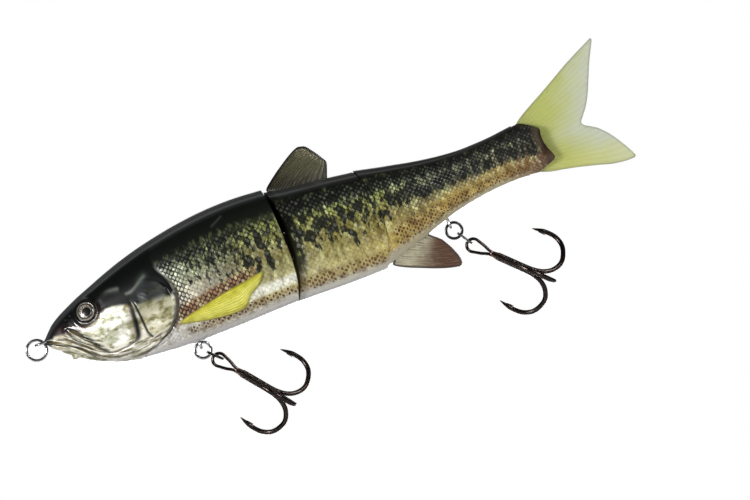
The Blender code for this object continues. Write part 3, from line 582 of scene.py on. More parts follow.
# ----------------------------------------------------------- section skins
def half_skin(name, kind, lines, xs, count, side, end=None, warp_from=0.0):
    """Closed solid half of a section with moulded relief, still uncut."""
    xs = np.array(xs, float)
    phi = np.linspace(0, np.pi, count)
    gx, gp = np.meshgrid(xs, phi, indexing="ij")
    px = gx.copy()
    if end is not None:
        _, z = section(lines, gx, gp)
        w = np.clip((gx - warp_from) / (xs[-1] - warp_from), 0, None)
        px = np.where(gx > warp_from, gx + (curve(end, z) - xs[-1]) * w, gx)
    y, z = section(lines, px, gp)
    p = np.stack([px, y, z], axis=-1)
    du = np.gradient(p, axis=0)
    dv = np.gradient(p, axis=1)
    n = np.cross(dv, du)
    n /= np.linalg.norm(n, axis=-1, keepdims=True) + 1e-12
    n *= np.where(n[..., 1:2] + 0.001 * np.sign(n[..., 1:2]) >= 0, 1, -1)
    # at the top and the bottom the normal must point away from the axis
    mid = (curve(lines, px, 1) + curve(lines, px, 2)) / 2
    flip = (n[..., 2] * (z - mid) < 0) & (np.abs(n[..., 1]) < 0.2)
    n[flip] *= -1
    a, b = lattice(lines, px, gp)
    lift = 0.105 * scale_amount(kind, px, z) * scale_height(a, b)
    if kind == "head":
        lift = lift + head_relief(px, z)
    p = p + n * lift[..., None]
    p[..., 1] = np.maximum(p[..., 1], SEAM)
    p[:, 0, 1] = SEAM
    p[:, -1, 1] = SEAM
    p[..., 1] *= side
    rows = list(p)
    if kind == "head":
        # round the very tip of the nose
        first = rows[0]
        c = np.array([first[0][0], side * SEAM, (first[0][2] + first[-1][2]) / 2])
        for x, k in ((1.30, 0.82), (1.05, 0.55), (0.95, 0.25)):
            row = c + (first - c) * k
            row[:, 0] = x
            row[:, 1] = side * np.maximum(np.abs(row[:, 1]), SEAM)
            rows.insert(0, row)
    return make(name, *loft(rows), smooth=False)


def inside_face(pin_x, face, gap):
    rows = []
    zs = np.linspace(-26, 26, 53)
    for z, radius in zip(zs, curve(face, zs)):
        a = 2 * np.pi * np.arange(144) / 144
        rows.append(np.stack([pin_x + (radius + gap) * np.cos(a), (radius + gap) * np.sin(a), np.full(144, z)], axis=1))
    return loft(rows)


def ahead_of_face(pin_x, face):
    rows = []
    zs = np.linspace(-26, 26, 53)
    for z, radius in zip(zs, curve(face, zs)):
        a = np.pi / 2 + np.pi * np.arange(97) / 96
        arc = np.stack([pin_x + radius * np.cos(a), radius * np.sin(a), np.full(97, z)], axis=1)
        frame_points = [(pin_x, -24.0, z), (pin_x - 34, -24.0, z), (pin_x - 34, 24.0, z), (pin_x, 24.0, z)]
        rows.append(np.vstack([arc, frame_points]))
    return loft(rows)


def window(pin_x, reach, z0, z1):
    """Wedge that the hinge tongue swings in."""
    swing, clear = math.radians(25.0), 0.4
    corner = (reach * math.cos(swing), reach * math.sin(swing) + 1.2 / math.cos(swing) + clear)
    slope = (corner[1] - 2.6 - clear) / corner[0]
    far, near = reach + 3.0, 2.6 + clear
    wide = near + slope * far
    return prism([(pin_x - far, -wide), (pin_x, -near), (pin_x + near * 0.7, -near * 0.7), (pin_x + near, 0.0),
                  (pin_x + near * 0.7, near * 0.7), (pin_x, near), (pin_x - far, wide)], z0, z1)


def eye_wire(to_world, arc_radius, arc_centre, leg_start, leg_end, leg_half):
    path = [(leg_end, -leg_half), (leg_start, -leg_half),
            ((leg_start + arc_centre) / 2, -(leg_half + arc_radius) / 2 - 0.12)]
    for k in range(17):
        a = math.pi * k / 16
        path.append((arc_centre - arc_radius * math.sin(a), -arc_radius * math.cos(a)))
    path += [((leg_start + arc_centre) / 2, (leg_half + arc_radius) / 2 + 0.12),
             (leg_start, leg_half), (leg_end, leg_half)]
    return np.array([to_world(u, v) for u, v in path])


def nose_path():
    return eye_wire(lambda u, v: (u, v, 0.0), 1.45, -0.30, 3.2, 9.4, 0.56)


def front_hanger_path():
    return eye_wire(lambda u, v: (44.9, v, -17.9 + u), 1.4, 0.0, 2.6, 7.2, 0.52)


def rear_hanger_path():
    return eye_wire(lambda u, v: (129.0, v, -11.75 + u), 1.4, 0.0, 2.6, 6.6, 0.52)


def eye_place(side):
    x, z = EYE_CENTRE
    axis = Vector((-0.12, side * 0.95, 0.27)).normalized()
    return (x, side * float(flank_y(HEAD_LINES, x, z)), z), axis


# colours down the flank at stations along the body: (share of height, colour of a scale's crown); the net between the
# scales is darker. The grey at the very top of the back is a painted reflection along the ridge.
FLANK = {
    40.0: ((0.00, 58, 58, 60), (0.05, 44, 45, 46), (0.10, 12, 14, 13), (0.20, 22, 24, 22), (0.28, 150, 154, 148),
           (0.40, 205, 207, 200), (0.52, 205, 202, 190), (0.66, 190, 182, 168), (0.76, 150, 128, 108),
           (0.84, 205, 203, 198), (0.92, 196, 192, 186), (0.96, 203, 199, 196), (1.0, 205, 202, 200)),
    52.0: ((0.00, 62, 62, 64), (0.05, 50, 50, 52), (0.09, 13, 15, 13), (0.21, 18, 22, 17), (0.29, 96, 106, 74),
           (0.42, 130, 136, 108), (0.52, 178, 174, 150), (0.62, 196, 190, 172), (0.70, 150, 132, 100),
           (0.80, 200, 196, 182), (0.90, 172, 158, 132), (0.955, 203, 199, 193), (1.0, 205, 202, 200)),
    74.0: ((0.00, 55, 56, 58), (0.05, 42, 45, 45), (0.09, 12, 15, 12), (0.20, 20, 25, 17), (0.28, 124, 134, 84),
           (0.40, 142, 146, 104), (0.52, 170, 164, 130), (0.64, 172, 170, 140), (0.74, 192, 190, 168),
           (0.82, 216, 214, 200), (0.88, 180, 168, 140), (0.945, 203, 201, 192), (1.0, 206, 204, 200)),
    86.0: ((0.00, 52, 53, 54), (0.05, 40, 42, 41), (0.09, 14, 17, 13), (0.20, 24, 29, 20), (0.28, 150, 162, 110),
           (0.38, 164, 168, 118), (0.50, 168, 162, 118), (0.64, 190, 186, 150), (0.78, 200, 194, 168),
           (0.86, 192, 180, 150), (0.90, 176, 162, 134), (0.945, 200, 197, 188), (1.0, 205, 203, 200)),
    104.0: ((0.00, 50, 50, 50), (0.06, 38, 39, 37), (0.10, 15, 17, 13), (0.18, 92, 100, 80), (0.27, 150, 162, 112),
            (0.40, 150, 150, 104), (0.50, 158, 150, 100), (0.62, 176, 164, 112), (0.76, 190, 178, 134),
            (0.86, 186, 172, 136), (0.90, 174, 160, 126), (0.945, 200, 193, 176), (1.0, 205, 202, 194)),
    114.0: ((0.00, 38, 38, 37), (0.06, 28, 29, 27), (0.10, 15, 17, 13), (0.18, 86, 94, 76), (0.28, 158, 170, 122),
            (0.40, 146, 148, 106), (0.52, 170, 160, 110), (0.64, 186, 172, 120), (0.76, 210, 190, 116),
            (0.86, 204, 180, 110), (0.93, 186, 174, 142), (1.0, 200, 190, 164)),
    130.0: ((0.00, 32, 32, 31), (0.08, 25, 26, 24), (0.13, 18, 20, 16), (0.22, 100, 106, 92), (0.34, 128, 132, 108),
            (0.50, 118, 116, 92), (0.62, 176, 162, 112), (0.72, 218, 192, 104), (0.82, 214, 180, 92),
            (0.90, 178, 160, 112), (0.96, 190, 180, 148), (1.0, 200, 190, 160)),
    150.0: ((0.00, 30, 30, 30), (0.09, 23, 24, 22), (0.15, 20, 22, 19), (0.26, 92, 96, 88), (0.40, 122, 122, 108),
            (0.54, 132, 126, 106), (0.66, 206, 186, 122), (0.76, 218, 192, 112), (0.85, 210, 184, 108),
            (0.93, 180, 168, 132), (1.0, 192, 182, 150)),
    163.0: ((0.00, 24, 24, 24), (0.12, 20, 20, 19), (0.25, 40, 40, 38), (0.42, 84, 78, 66), (0.55, 74, 62, 50),
            (0.68, 72, 52, 40), (0.80, 84, 60, 44), (0.90, 96, 74, 56), (1.0, 120, 100, 80)),
}
# dark blotches of the flank: x, z, half length, half height, strength
BLOTCHES = (
    (46.5, 8.5, 1.0, 2.0, 0.25), (51.5, 9.0, 1.2, 3.2, 0.45), (54.0, 2.5, 0.9, 2.6, 0.25), (58.3, 4.5, 1.1, 5.5, 0.55),
    (61.5, 8.8, 1.3, 2.6, 0.45), (64.6, 5.0, 0.9, 4.0, 0.45), (68.4, -0.6, 2.9, 1.5, 0.75), (70.5, 8.8, 1.3, 2.6, 0.35),
    (73.2, 5.0, 1.2, 3.6, 0.7), (74.3, -2.0, 1.1, 3.6, 0.6), (77.5, 8.0, 1.0, 2.6, 0.35), (70.0, -3.0, 0.9, 1.6, 0.5),
    (86.6, 3.2, 1.0, 3.0, 0.45), (88.4, 0.0, 1.5, 2.4, 0.75), (93.2, 2.8, 2.4, 2.6, 0.72), (95.4, 0.0, 1.9, 1.8, 0.7),
    (99.6, 3.2, 1.3, 3.2, 0.72), (102.2, 1.4, 1.5, 1.6, 0.65), (105.2, 4.0, 1.5, 3.0, 0.8), (107.3, 1.0, 1.0, 2.2, 0.5),
    (89.6, -3.4, 1.0, 2.0, 0.42), (94.6, -2.8, 0.9, 0.9, 0.42), (100.8, -4.6, 1.0, 2.6, 0.5), (101.6, -7.6, 0.8, 1.4, 0.4),
    (104.6, -4.4, 0.8, 1.2, 0.30), (109.0, 4.6, 1.1, 2.4, 0.5), (111.2, -1.6, 1.6, 1.4, 0.62), (112.2, -3.8, 0.9, 0.8, 0.5),
    (114.8, 1.8, 1.6, 2.6, 0.6), (118.6, 1.0, 1.4, 2.2, 0.6), (122.0, 3.0, 1.5, 2.8, 0.65), (125.8, 0.4, 2.0, 2.2, 0.7),
    (130.2, 0.8, 2.0, 2.0, 0.7), (134.6, 2.2, 1.6, 2.6, 0.62), (138.4, 0.8, 2.0, 1.9, 0.66), (142.6, 2.0, 1.6, 2.4, 0.6),
    (146.4, 0.8, 1.9, 1.8, 0.66), (150.8, 2.0, 1.7, 2.4, 0.6), (155.0, 1.2, 2.0, 2.4, 0.62), (120.0, -4.9, 0.8, 0.7, 0.3),
)

def flank_colour(x, g):
    stations = sorted(FLANK)
    layers = []
    for s in stations:
        t = np.array(FLANK[s], float)
        layers.append(np.stack([np.interp(g, t[:, 0], t[:, c]) for c in (1, 2, 3)], axis=-1))
    layers = np.array(layers)
    i = np.clip(np.interp(x, stations, np.arange(len(stations))), 0, len(stations) - 1.001)
    i0 = i.astype(int)
    f = (i - i0)[:, None]
    k = np.arange(len(x))
    return layers[i0, k] * (1 - f) + layers[i0 + 1, k] * f


def blend_in(colour, where, target):
    return colour + (np.array(target, float) - colour) * np.clip(where, 0, 1)[:, None]


def head_colour(x, z, colour):
    """Gill plates, jaws, eye patch and crown of the head."""
    front = 1 - ramp(-0.6, 0.5, x - curve(GILL_EDGE, z))
    skin = np.zeros_like(colour)
    border = np.interp(x, (0, 2.4, 3.3, 4.4, 8, 11, 14, 17, 19, 20.5, 22.4, 24.6, 27.3, 28.8, 32, 36, 40, 41.6, 45),
                       (-1.9, -1.9, -1.4, 0.6, 0.0, -1.0, -0.8, 0.0, 0.8, 1.9, 2.65, 2.7, 2.0, 1.4, 0.6, 1.2, 1.4, -0.6, -1.6))
    below = 1 - ramp(-0.7, 0.7, z - border)
    skin[:] = (9, 11, 10)
    skin = blend_in(skin, (1 - ramp(0.5, 4.5, z - border)) * ramp(24.0, 20.0, x) * ramp(4.0, 7.0, x), (40, 24, 24))
    top = curve(HEAD_LINES, x, 1)
    # painted reflection: a grey band along the top ridge of the head
    skin = blend_in(skin, 1 - ramp(1.2, 2.4, top - z), (54, 55, 56))
    silver = np.zeros_like(colour)
    silver[:] = (236, 232, 214)
    silver = blend_in(silver, (1 - ramp(5.0, 12.0, x)) * 0.8, (206, 198, 174))
    silver = blend_in(silver, ramp(-10.0, -12.0, z) * (1 - ramp(38, 46, x)) * 0.6, (212, 206, 190))
    silver = blend_in(silver, ramp(0.0, 1.2, inside(CHEEK, x, z)), (255, 255, 248))
    silver = blend_in(silver, ramp(0.0, 2.2, inside([(16.5, -0.5), (19.5, 1.5), (20.6, -1.0), (20.2, -6.0), (17.0, -5.0)], x, z)) * 0.85,
                      (176, 180, 148))
    silver = blend_in(silver, ramp(-0.2, 1.0, inside([(26.6, -3.6), (29.0, -3.0), (28.6, -8.4), (26.4, -9.2)], x, z)) * 0.7, (170, 164, 136))
    plate = ramp(0.0, 0.9, inside(OPERCLE, x, z))
    silver = blend_in(silver, plate, (214, 208, 180))
    silver = blend_in(silver, plate * ramp(-6.0, 0.0, z) * 0.8, (150, 150, 124))
    silver = blend_in(silver, plate * np.exp(-(((x - 36) / 2.6) ** 2 + ((z + 6.6) / 2.4) ** 2)), (255, 252, 234))
    silver = blend_in(silver, plate * ramp(-2.2, 0.8, z) * ramp(35.5, 39.0, x) * 0.8, (120, 122, 120))
    skin = skin * (1 - below[:, None]) + silver * below[:, None]
    # slate top of the gill cover, with a painted highlight patch on it
    slate = plate * ramp(-0.8, 1.4, z) * (1 - ramp(4.6, 7.0, z))
    skin = blend_in(skin, slate, (32, 36, 36))
    skin = blend_in(skin, slate * np.exp(-(((x - 38.5) / 2.2) ** 2 + ((z - 2.2) / 1.6) ** 2)) * 0.7, (92, 98, 96))
    # painted highlights: light streaks along the brow and nape wrinkles
    d, along = to_line(BROW, x, z)
    skin = blend_in(skin, np.exp(-(d / 0.75) ** 2) * (0.15 + 0.5 * ramp(0.3, 0.8, along)), (132, 136, 130))
    d, along = to_line(NAPE, x, z)
    skin = blend_in(skin, np.exp(-(d / 0.6) ** 2) * (0.6 - 0.3 * along), (176, 184, 172))
    skin = blend_in(skin, np.exp(-(d / 1.4) ** 2) * ramp(0.4, 0.8, along) * 0.35, (120, 130, 122))
    d = np.hypot(x - EYE_CENTRE[0], z - EYE_CENTRE[1])
    skin = blend_in(skin, 1 - ramp(3.2, 4.0, d), (20, 14, 13))
    # white edge of the plate behind the dark line
    d, along = to_line([(30.7, 1.4), (30.7, -0.5), (30.8, -3.0), (30.6, -6.0)], x, z)
    skin = blend_in(skin, 0.8 * np.exp(-(d / 0.35) ** 2) * (1 - ramp(0.5, 0.9, along)), (250, 250, 240))
    # dark lines in the moulded grooves
    for line, width, k, early in ((PREOPERCLE, 0.86, 1.0, 0.60), (OPERCLE_FRONT, 0.36, 0.95, 1.0), (SUBOPERCLE, 0.26, 0.7, 1.0),
                                  (MOUTH, 0.36, 0.9, 1.0), (MAXILLA_FRONT, 0.44, 0.9, 1.0), (MAXILLA_REAR, 0.70, 1.0, 1.0),
                                  (LIP_UPPER, 0.30, 0.6, 1.0), (JAW_LINES[0], 0.28, 0.62, 1.0), (JAW_LINES[1], 0.28, 0.6, 1.0),
                                  (JAW_FRONT, 0.24, 0.3, 1.0)):
        d, along = to_line(line, x, z)
        fade = 1 - 0.55 * ramp(early - 0.15, early + 0.1, along) * (early < 1)
        skin = blend_in(skin, k * fade * np.exp(-(d / (width * (0.55 + 0.45 * fade))) ** 2) * (0.55 + 0.45 * np.sin(np.pi * along)),
                        (16, 15, 12))
    d, _ = to_line(GILL_RIM, x, z)
    skin = blend_in(skin, 0.85 * np.exp(-(d / 0.36) ** 2), (24, 22, 18))
    skin = blend_in(skin, 0.6 * np.exp(-((d - 0.95) / 0.3) ** 2), (236, 234, 220))
    bottom = curve(HEAD_LINES, x, 2)
    skin = blend_in(skin, (1 - ramp(0.8, 2.2, z - bottom)) * ramp(8, 14, x), (206, 203, 196))
    out = colour * (1 - front[:, None]) + skin * front[:, None]
    # shadowed strip just behind the gill cover
    edge = x - curve(GILL_EDGE, z)
    out = blend_in(out, 0.85 * np.exp(-((edge - 0.55) / 0.55) ** 2) * (1 - ramp(1.0, 7.0, z)) * ramp(-15, -12, z), (26, 22, 18))
    return out, front


def linear(colour):
    c = np.clip(colour, 0, 255) / 255
    return np.where(c <= 0.04045, c / 12.92, ((c + 0.055) / 1.055) ** 2.4)


def paint_skin(obj, kind, lines):
    """Point attributes of one finished half: paint, lat, mask."""
    p = points_of(obj)
    x, y, z = p[:, 0], np.abs(p[:, 1]), p[:, 2]
    top, bottom, half = (curve(lines, x, c) for c in (1, 2, 3))
    c, h = (top + bottom) / 2, (top - bottom) / 2
    t = np.clip((z - c) / h, -1, 1)
    phi = np.arccos(np.sign(t) * np.abs(t) ** (POWER / 2))
    g = np.clip((top - z) / (top - bottom), 0, 1)
    level = ((y / half) ** POWER + np.abs((z - c) / h) ** POWER) ** (1 / POWER)
    depth = (1 - level) * np.minimum(half, h)
    inner = ramp(0.75, 0.95, depth)
    a, b = lattice(lines, x, phi)
    colour = flank_colour(x, g)
    deep = np.interp(g, (0.2, 0.38, 0.5, 0.62, 0.80, 0.90), (0.96, 0.88, 0.76, 0.78, 0.90, 1.0))
    colour = colour * (1 + (deep - 1) * ramp(50, 62, x))[:, None]
    warm = ramp(58, 70, x) * ramp(0.20, 0.32, g) * (1 - ramp(0.86, 0.93, g)) * (1 - ramp(158, 163, x))
    warm = warm * (1 - 0.7 * ramp(112, 122, x))
    colour = colour * (1 + warm[:, None] * np.array([0.02, 0.0, -0.20]))
    amount = scale_amount(kind, x, z)
    blot = np.interp(g, (0, 0.10, 0.16, 0.24, 0.32, 0.42, 0.52, 0.6, 1.0), (1, 1, 0.88, 0.58, 0.36, 0.34, 0.32, 0.10, -0.1))
    if kind == "head":
        blot = blot + 0.10 * ramp(0.5, 0.2, g) * ramp(46, 52, x)
        blot = blot - 0.55 * (1 - ramp(45.5, 50, x)) * (1 - ramp(5.0, 8.5, z))
    if kind == "rear":
        zc = np.interp(x, (107, 120, 135, 150, 165), (1.6, 1.0, 1.0, 1.4, 1.0))
        half_band = np.interp(x, (107, 120, 135, 150, 165), (2.0, 2.4, 2.4, 2.4, 3.5))
        blot = np.maximum(blot - 0.06, 0.50 * np.exp(-((z - zc) / half_band) ** 4) * ramp(109, 114, x))
        blot = blot + 0.20 * ramp(156, 162, x) * ramp(-6, 2, z)
        blot = np.where(z < zc - 3.2, blot * 0.2, blot)
    for bx, bz, rx, rz, k in BLOTCHES:
        if kind == "head" and bx > 80 or kind != "head" and bx < 80:
            continue
        rx, k = rx * 1.18, min(k * 1.25, 0.95)
        blot = np.maximum(blot, k * np.exp(-(((x - bx) / rx) ** 2 + ((z - bz) / rz) ** 2) ** 1.5) + 0.12 * (k > 0.5) * np.exp(-(((x - bx) / rx / 1.4) ** 2 + ((z - bz) / rz / 1.4) ** 2)))
    # net darkness: strong on the back, weak towards the belly
    net = np.interp(g, (0, 0.2, 0.34, 0.5, 0.66, 0.85, 1.0), (0.95, 0.90, 0.70, 0.48, 0.36, 0.30, 0.3))
    net = net + 0.26 * ramp(108, 122, x) * ramp(0.2, 0.4, g)
    if kind == "head":
        net = np.maximum(net, (1 - ramp(45.0, 54.0, x)) * 0.97 * (1 - ramp(0.72, 0.86, g)))
    metal = np.interp(g, (0, 0.09, 0.14, 0.5, 0.85, 0.93, 1.0), (0.0, 0.0, 0.22, 0.34, 0.25, 0.05, 0.0))
    if kind == "head":
        colour, front = head_colour(x, z, colour)
        gill = ramp(-0.5, 0.8, np.interp(x, (0, 8, 19, 28, 36, 45), (0, 0, 2.6, 2.4, 4.0, 4.0)) - z)
        metal = metal * (1 - front) + front * gill * 0.22 * ramp(-13.6, -11.0, z)
        blot = blot * (1 - front)
        # rusty scales above the pectoral fin
        over = z - curve(((41.6, -9.0), (50.0, -7.6), (60.0, -5.8), (65.0, -5.2), (71.0, -4.2)), x)
        rust = ramp(-0.6, 0.4, over) * (1 - ramp(2.4, 4.2, over)) * ramp(42.0, 44.0, x) * (1 - ramp(66.0, 71.5, x))
        colour = blend_in(colour, rust * 0.8, (128, 88, 62))
        net = np.maximum(net, 0.85 * rust)
        # brighter flank behind the gill, white patch under the pectoral tip, and a painted highlight streak high on the
        # back
        colour = blend_in(colour, ramp(60, 68, x) * np.exp(-((z + 9.8) / 1.7) ** 4) * 0.85, (238, 238, 228))
        colour = blend_in(colour, np.exp(-(to_line([(61.5, 14.0), (65.2, 15.8)], x, z)[0] / 0.35) ** 2) * 0.35, (120, 124, 116))
    if kind == "rear":
        colour = blend_in(colour, ramp(159.5, 163.5, x + 0.2 * np.abs(z)) * 0.6, (96, 78, 62))
        colour = blend_in(colour, ramp(162.0, 164.5, x) * ramp(1.0, -3.0, z) * 0.92, (26, 20, 16))
        colour = blend_in(colour, (1 - ramp(0.3, 1.3, curve(REAR_END, z) - x)) * 0.8, (26, 20, 16))
        colour = blend_in(colour, ramp(145, 158, x) * 0.35 * np.exp(-((z + 4) / 2.6) ** 2), (150, 104, 70))
    if kind == "mid":
        # painted shade on the front of the middle section just behind the joint gap, darker towards the top
        gap = x - (FRONT_PIN_X - np.sqrt(np.maximum(curve(FRONT_FACE, z) ** 2 - y**2, 0)))
        shade = np.interp(z, (-17, -12, -6, 0, 6, 12, 17), (0.15, 0.35, 0.7, 0.85, 0.9, 0.97, 0.97))
        colour = blend_in(colour, shade * (1 - ramp(0.9, 2.6, gap)), (10, 11, 8))
    # everything that isn't outer skin: faces of the joints and slots, painted dark as shade in the recesses, darkest at
    # the top and lighter towards the bottom
    low = np.interp(g, (0, 0.35, 0.55, 0.7, 0.85, 0.95, 1), (6, 14, 34, 62, 92, 130, 160))
    dark = np.stack([low * 1.04, low, low * 0.84], axis=1)
    colour = colour * (1 - inner[:, None]) + dark * inner[:, None]
    amount = amount * (1 - inner)
    blot = blot * (1 - inner)
    metal = metal * (1 - inner)
    put(obj, "paint", linear(colour))
    put(obj, "lat", np.stack([a, b, net], axis=1))
    put(obj, "mask", np.stack([amount, blot, metal], axis=1))
    spot = np.zeros(len(x))
    mottle = np.zeros(len(x))
    crease = np.zeros(len(x))
    if kind == "rear":
        zc = np.interp(x, (107, 120, 135, 150, 165), (-8.0, -5.0, -3.8, -3.0, -3.0))
        spot = ramp(1.8, -1.2, z - zc) * (1 - ramp(0.90, 0.94, g)) * ramp(110.5, 113, x) * (1 - ramp(157, 160, x))
    elif kind == "mid":
        spot = ramp(0.79, 0.84, g) * (1 - ramp(0.925, 0.94, g)) * 0.9
    elif kind == "head":
        spot = ramp(0.845, 0.86, g) * (1 - ramp(0.91, 0.925, g)) * ramp(40, 46, x)
        mottle = front * gill
        plates = np.maximum(ramp(-0.2, 0.6, inside(CHEEK, x, z)), ramp(-0.2, 0.6, inside(OPERCLE, x, z)))
        strip = ramp(25.5, 27.5, x) * ramp(-10.8, -9.4, z)
        crease = front * gill * (1 - plates) * (1 - strip) * (1 - 0.7 * ramp(12.5, 14.5, x) * ramp(-5.5, -3.5, z)) * ramp(bottom + 0.3, bottom + 2.0, z) * (1 - inner)
    put(obj, "extra", np.stack([spot * (1 - inner), mottle, crease], axis=1))
    put(obj, "flow", np.stack([x, z - curve(CREASE, x), inner], axis=1))


def body_material():
    n = Nodes("body_paint")
    a, b, net = n.split(n.attribute("lat"))
    amount, blot, metal = n.split(n.attribute("mask"))
    paint = n.attribute("paint", "Color")
    where = n.place()
    side = n.math("SIGN", n.split(where)[1])
    # the rows of scales wander a little
    a = n.math("ADD", a, n.math("MULTIPLY", n.math("SUBTRACT", n.noise(where, 0.75, 2.0), 0.5), 0.75))
    b = n.math("ADD", b, n.math("MULTIPLY", n.math("SUBTRACT", n.noise(n.place((1.2, 1, 0.85)), 0.80, 2.0), 0.5), 0.75))
    ca, cb = n.math("FLOOR", a), n.math("FLOOR", b)
    fa = n.math("SUBTRACT", n.math("SUBTRACT", a, ca), 0.5)
    fb = n.math("SUBTRACT", n.math("SUBTRACT", b, cb), 0.5)
    # a scale shows as an upright lozenge
    across = n.math("MULTIPLY", n.math("ABSOLUTE", n.math("ADD", fa, fb)), 0.60)
    upright = n.math("MULTIPLY", n.math("ABSOLUTE", n.math("SUBTRACT", fa, fb)), 0.42)
    r = n.math("POWER", n.math("ADD", n.math("POWER", across, 1.4), n.math("POWER", upright, 1.4)), 1 / 1.4)
    wide = n.math("ADD", r, n.math("MULTIPLY", net, 0.17))
    crown = n.step(wide, 0.57, 0.34)
    cell = n.join(ca, cb, side)
    chance = n.random(cell)
    other = n.split(n.random(cell, "Color"))
    # blotches: a stretched cloud noise along the flank with a random value per scale; the middle of each scale is
    # worked out here but not used
    cu = n.math("MULTIPLY", n.math("ADD", ca, cb), 0.90)
    cv = n.math("MULTIPLY", n.math("SUBTRACT", ca, cb), 0.85)
    middle = n.join(cu, cv, n.math("MULTIPLY", side, 7.0))
    fx, fz, hidden = n.split(n.attribute("flow"))
    px, _, pz = n.split(where)
    sway = n.math("MULTIPLY", n.math("SUBTRACT", n.noise(where, 0.30, 2.0), 0.5), 1.6)
    cloud = n.noise(n.join(n.math("MULTIPLY", n.math("ADD", px, sway), 0.72), n.math("MULTIPLY", pz, 0.27),
                           n.math("MULTIPLY", side, 7.0)), 1.0, 4.0, 0.64)
    dark = n.step(n.math("ADD", blot, n.math("ADD", n.math("MULTIPLY", n.math("SUBTRACT", cloud, 0.5), 3.0),
                                            n.math("MULTIPLY", n.math("SUBTRACT", chance, 0.5), 0.30))), 0.34, 0.50)
    dark = n.math("MULTIPLY", dark, n.step(blot, 0.03, 0.14))
    patchy = n.noise(n.place((1, 1, 1.4)), 0.42, 5.0, 0.62)
    # one scale: bright crown, dark net, its own brightness; some crowns also get a painted sparkle screened towards
    # pale
    streaky = n.noise(n.join(n.math("MULTIPLY", n.math("ADD", px, sway), 0.55), n.math("MULTIPLY", pz, 0.22),
                             n.math("ADD", side, 3.0)), 1.0, 4.0, 0.6)
    paint = n.mix(n.math("MULTIPLY", n.step(streaky, 0.50, 0.64), n.math("MULTIPLY", amount, 0.62)), paint,
                  n.mix(1.0, paint, srgb(150, 140, 110), "MULTIPLY"))
    paint = n.mix(n.math("MULTIPLY", n.step(streaky, 0.48, 0.34), n.math("MULTIPLY", amount, 0.35)), paint,
                  n.mix(1.0, paint, srgb(226, 234, 160), "SCREEN"))
    own = n.math("ADD", 0.80, n.math("MULTIPLY", other[0], 1.10))
    lit = n.mix(n.math("MULTIPLY", n.math("POWER", other[1], 3.0), 0.4), paint, (0.86, 0.88, 0.72), "SCREEN")
    lit = n.mix(n.math("MULTIPLY", n.math("POWER", other[1], 3.0), 0.35), paint, lit)
    own = n.math("ADD", 1.0, n.math("MULTIPLY", n.math("SUBTRACT", own, 1.0), n.step(net, 0.15, 0.75)))
    crowned = n.scale(lit, own)
    rim = n.scale(paint, n.math("SUBTRACT", 1.0, net))
    scaled = n.mix(crown, rim, crowned)
    spot, mottle, crease = n.split(n.attribute("extra"))
    dot = n.math("MULTIPLY", n.step(n.math("ADD", r, n.math("MULTIPLY", n.math("SUBTRACT", patchy, 0.5), 0.5)), 0.38, 0.22), spot)
    scaled = n.mix(n.math("MULTIPLY", dot, n.step(other[2], 0.05, 0.4, 0.55, 1.0)), scaled, srgb(84, 52, 18))
    # painted glints: some scale crowns inside the dark blotches are painted a little lighter
    glint = n.math("MULTIPLY", n.step(wide, 0.50, 0.30), n.step(other[1], 0.15, 0.95, 0.10, 1.0))
    night = n.mix(glint, (0.0030, 0.0036, 0.0027), (0.060, 0.066, 0.050))
    scaled = n.mix(n.math("MULTIPLY", dark, 0.97), scaled, night)
    drift = n.noise(where, 0.55, 4.0)
    plain = n.scale(paint, n.math("ADD", 0.84, n.math("MULTIPLY", drift, 0.32)))
    soft = n.noise(n.place((0.8, 1, 1.5)), 0.20, 3.0, 0.5)
    plain = n.mix(n.math("MULTIPLY", mottle, n.step(soft, 0.46, 0.66, 0.0, 0.75)), plain, n.mix(1.0, plain, srgb(168, 170, 136), "MULTIPLY"))
    plain = n.mix(n.math("MULTIPLY", mottle, n.step(patchy, 0.47, 0.66)), plain, n.mix(1.0, plain, srgb(176, 172, 132), "MULTIPLY"))
    plain = n.mix(n.math("MULTIPLY", mottle, n.step(patchy, 0.60, 0.76)), plain, srgb(108, 104, 84))
    lines = n.noise(n.join(n.math("MULTIPLY", fx, 0.16), n.math("MULTIPLY", fz, 1.15), side), 1.0, 4.0, 0.6)
    plain = n.mix(n.math("MULTIPLY", crease, n.step(lines, 0.50, 0.60)), plain, srgb(96, 84, 58))
    plain = n.mix(n.math("MULTIPLY", crease, n.step(lines, 0.46, 0.38)), plain, srgb(246, 244, 228))
    colour = n.mix(amount, plain, scaled)
    n.set(colour=colour)
    n.set(metal=n.math("MULTIPLY", metal, n.math("SUBTRACT", 1.0, n.math("MULTIPLY", dark, 0.9))))
    fine = n.noise(where, 3.0, 4.0)
    n.set(rough=n.math("ADD", 0.26, n.math("MULTIPLY", fine, 0.16)), specular=0.14)
    n.set(coat=n.math("MULTIPLY", 0.6, n.math("SUBTRACT", 1.0, hidden)), coat_rough=n.math("ADD", 0.05, n.math("MULTIPLY", mottle, 0.16)))
    height = n.math("ADD", n.math("MULTIPLY", n.math("MULTIPLY", crown, amount), 1.0),
                    n.math("MULTIPLY", n.math("MULTIPLY", other[2], amount), 0.4))
    base = n.bump(height, 0.06, 0.8)
    n.set(normal=n.bump(fine, 0.02, 0.35, base))
    return n.mat


def joint_tools():
    return inside_face(FRONT_PIN_X, FRONT_FACE, FACE_GAP), inside_face(REAR_PIN_X, REAR_FACE, FACE_GAP)


BODY = body_material()
FRONT_POCKET, REAR_POCKET = joint_tools()


def grown(outline, dx, dz, split, below):
    cx = sum(p[0] for p in outline) / len(outline)
    return [(x + (dx if x > cx else -dx), z - dz if (z < split) == below else z) for x, z in outline]


DORSAL_SLOT = ((82.4, 15.0), (82.6, 20.0), (99.8, 20.0), (99.8, 12.2))
ANAL_SLOT = ((109.2, -19.0), (109.2, -14.0), (112.2, -12.4), (122.6, -10.6), (123.4, -19.0))


def slot_tool(outline, half):
    return loft([[(x, s * half, z) for x, z in outline] for s in (-1, 1)])


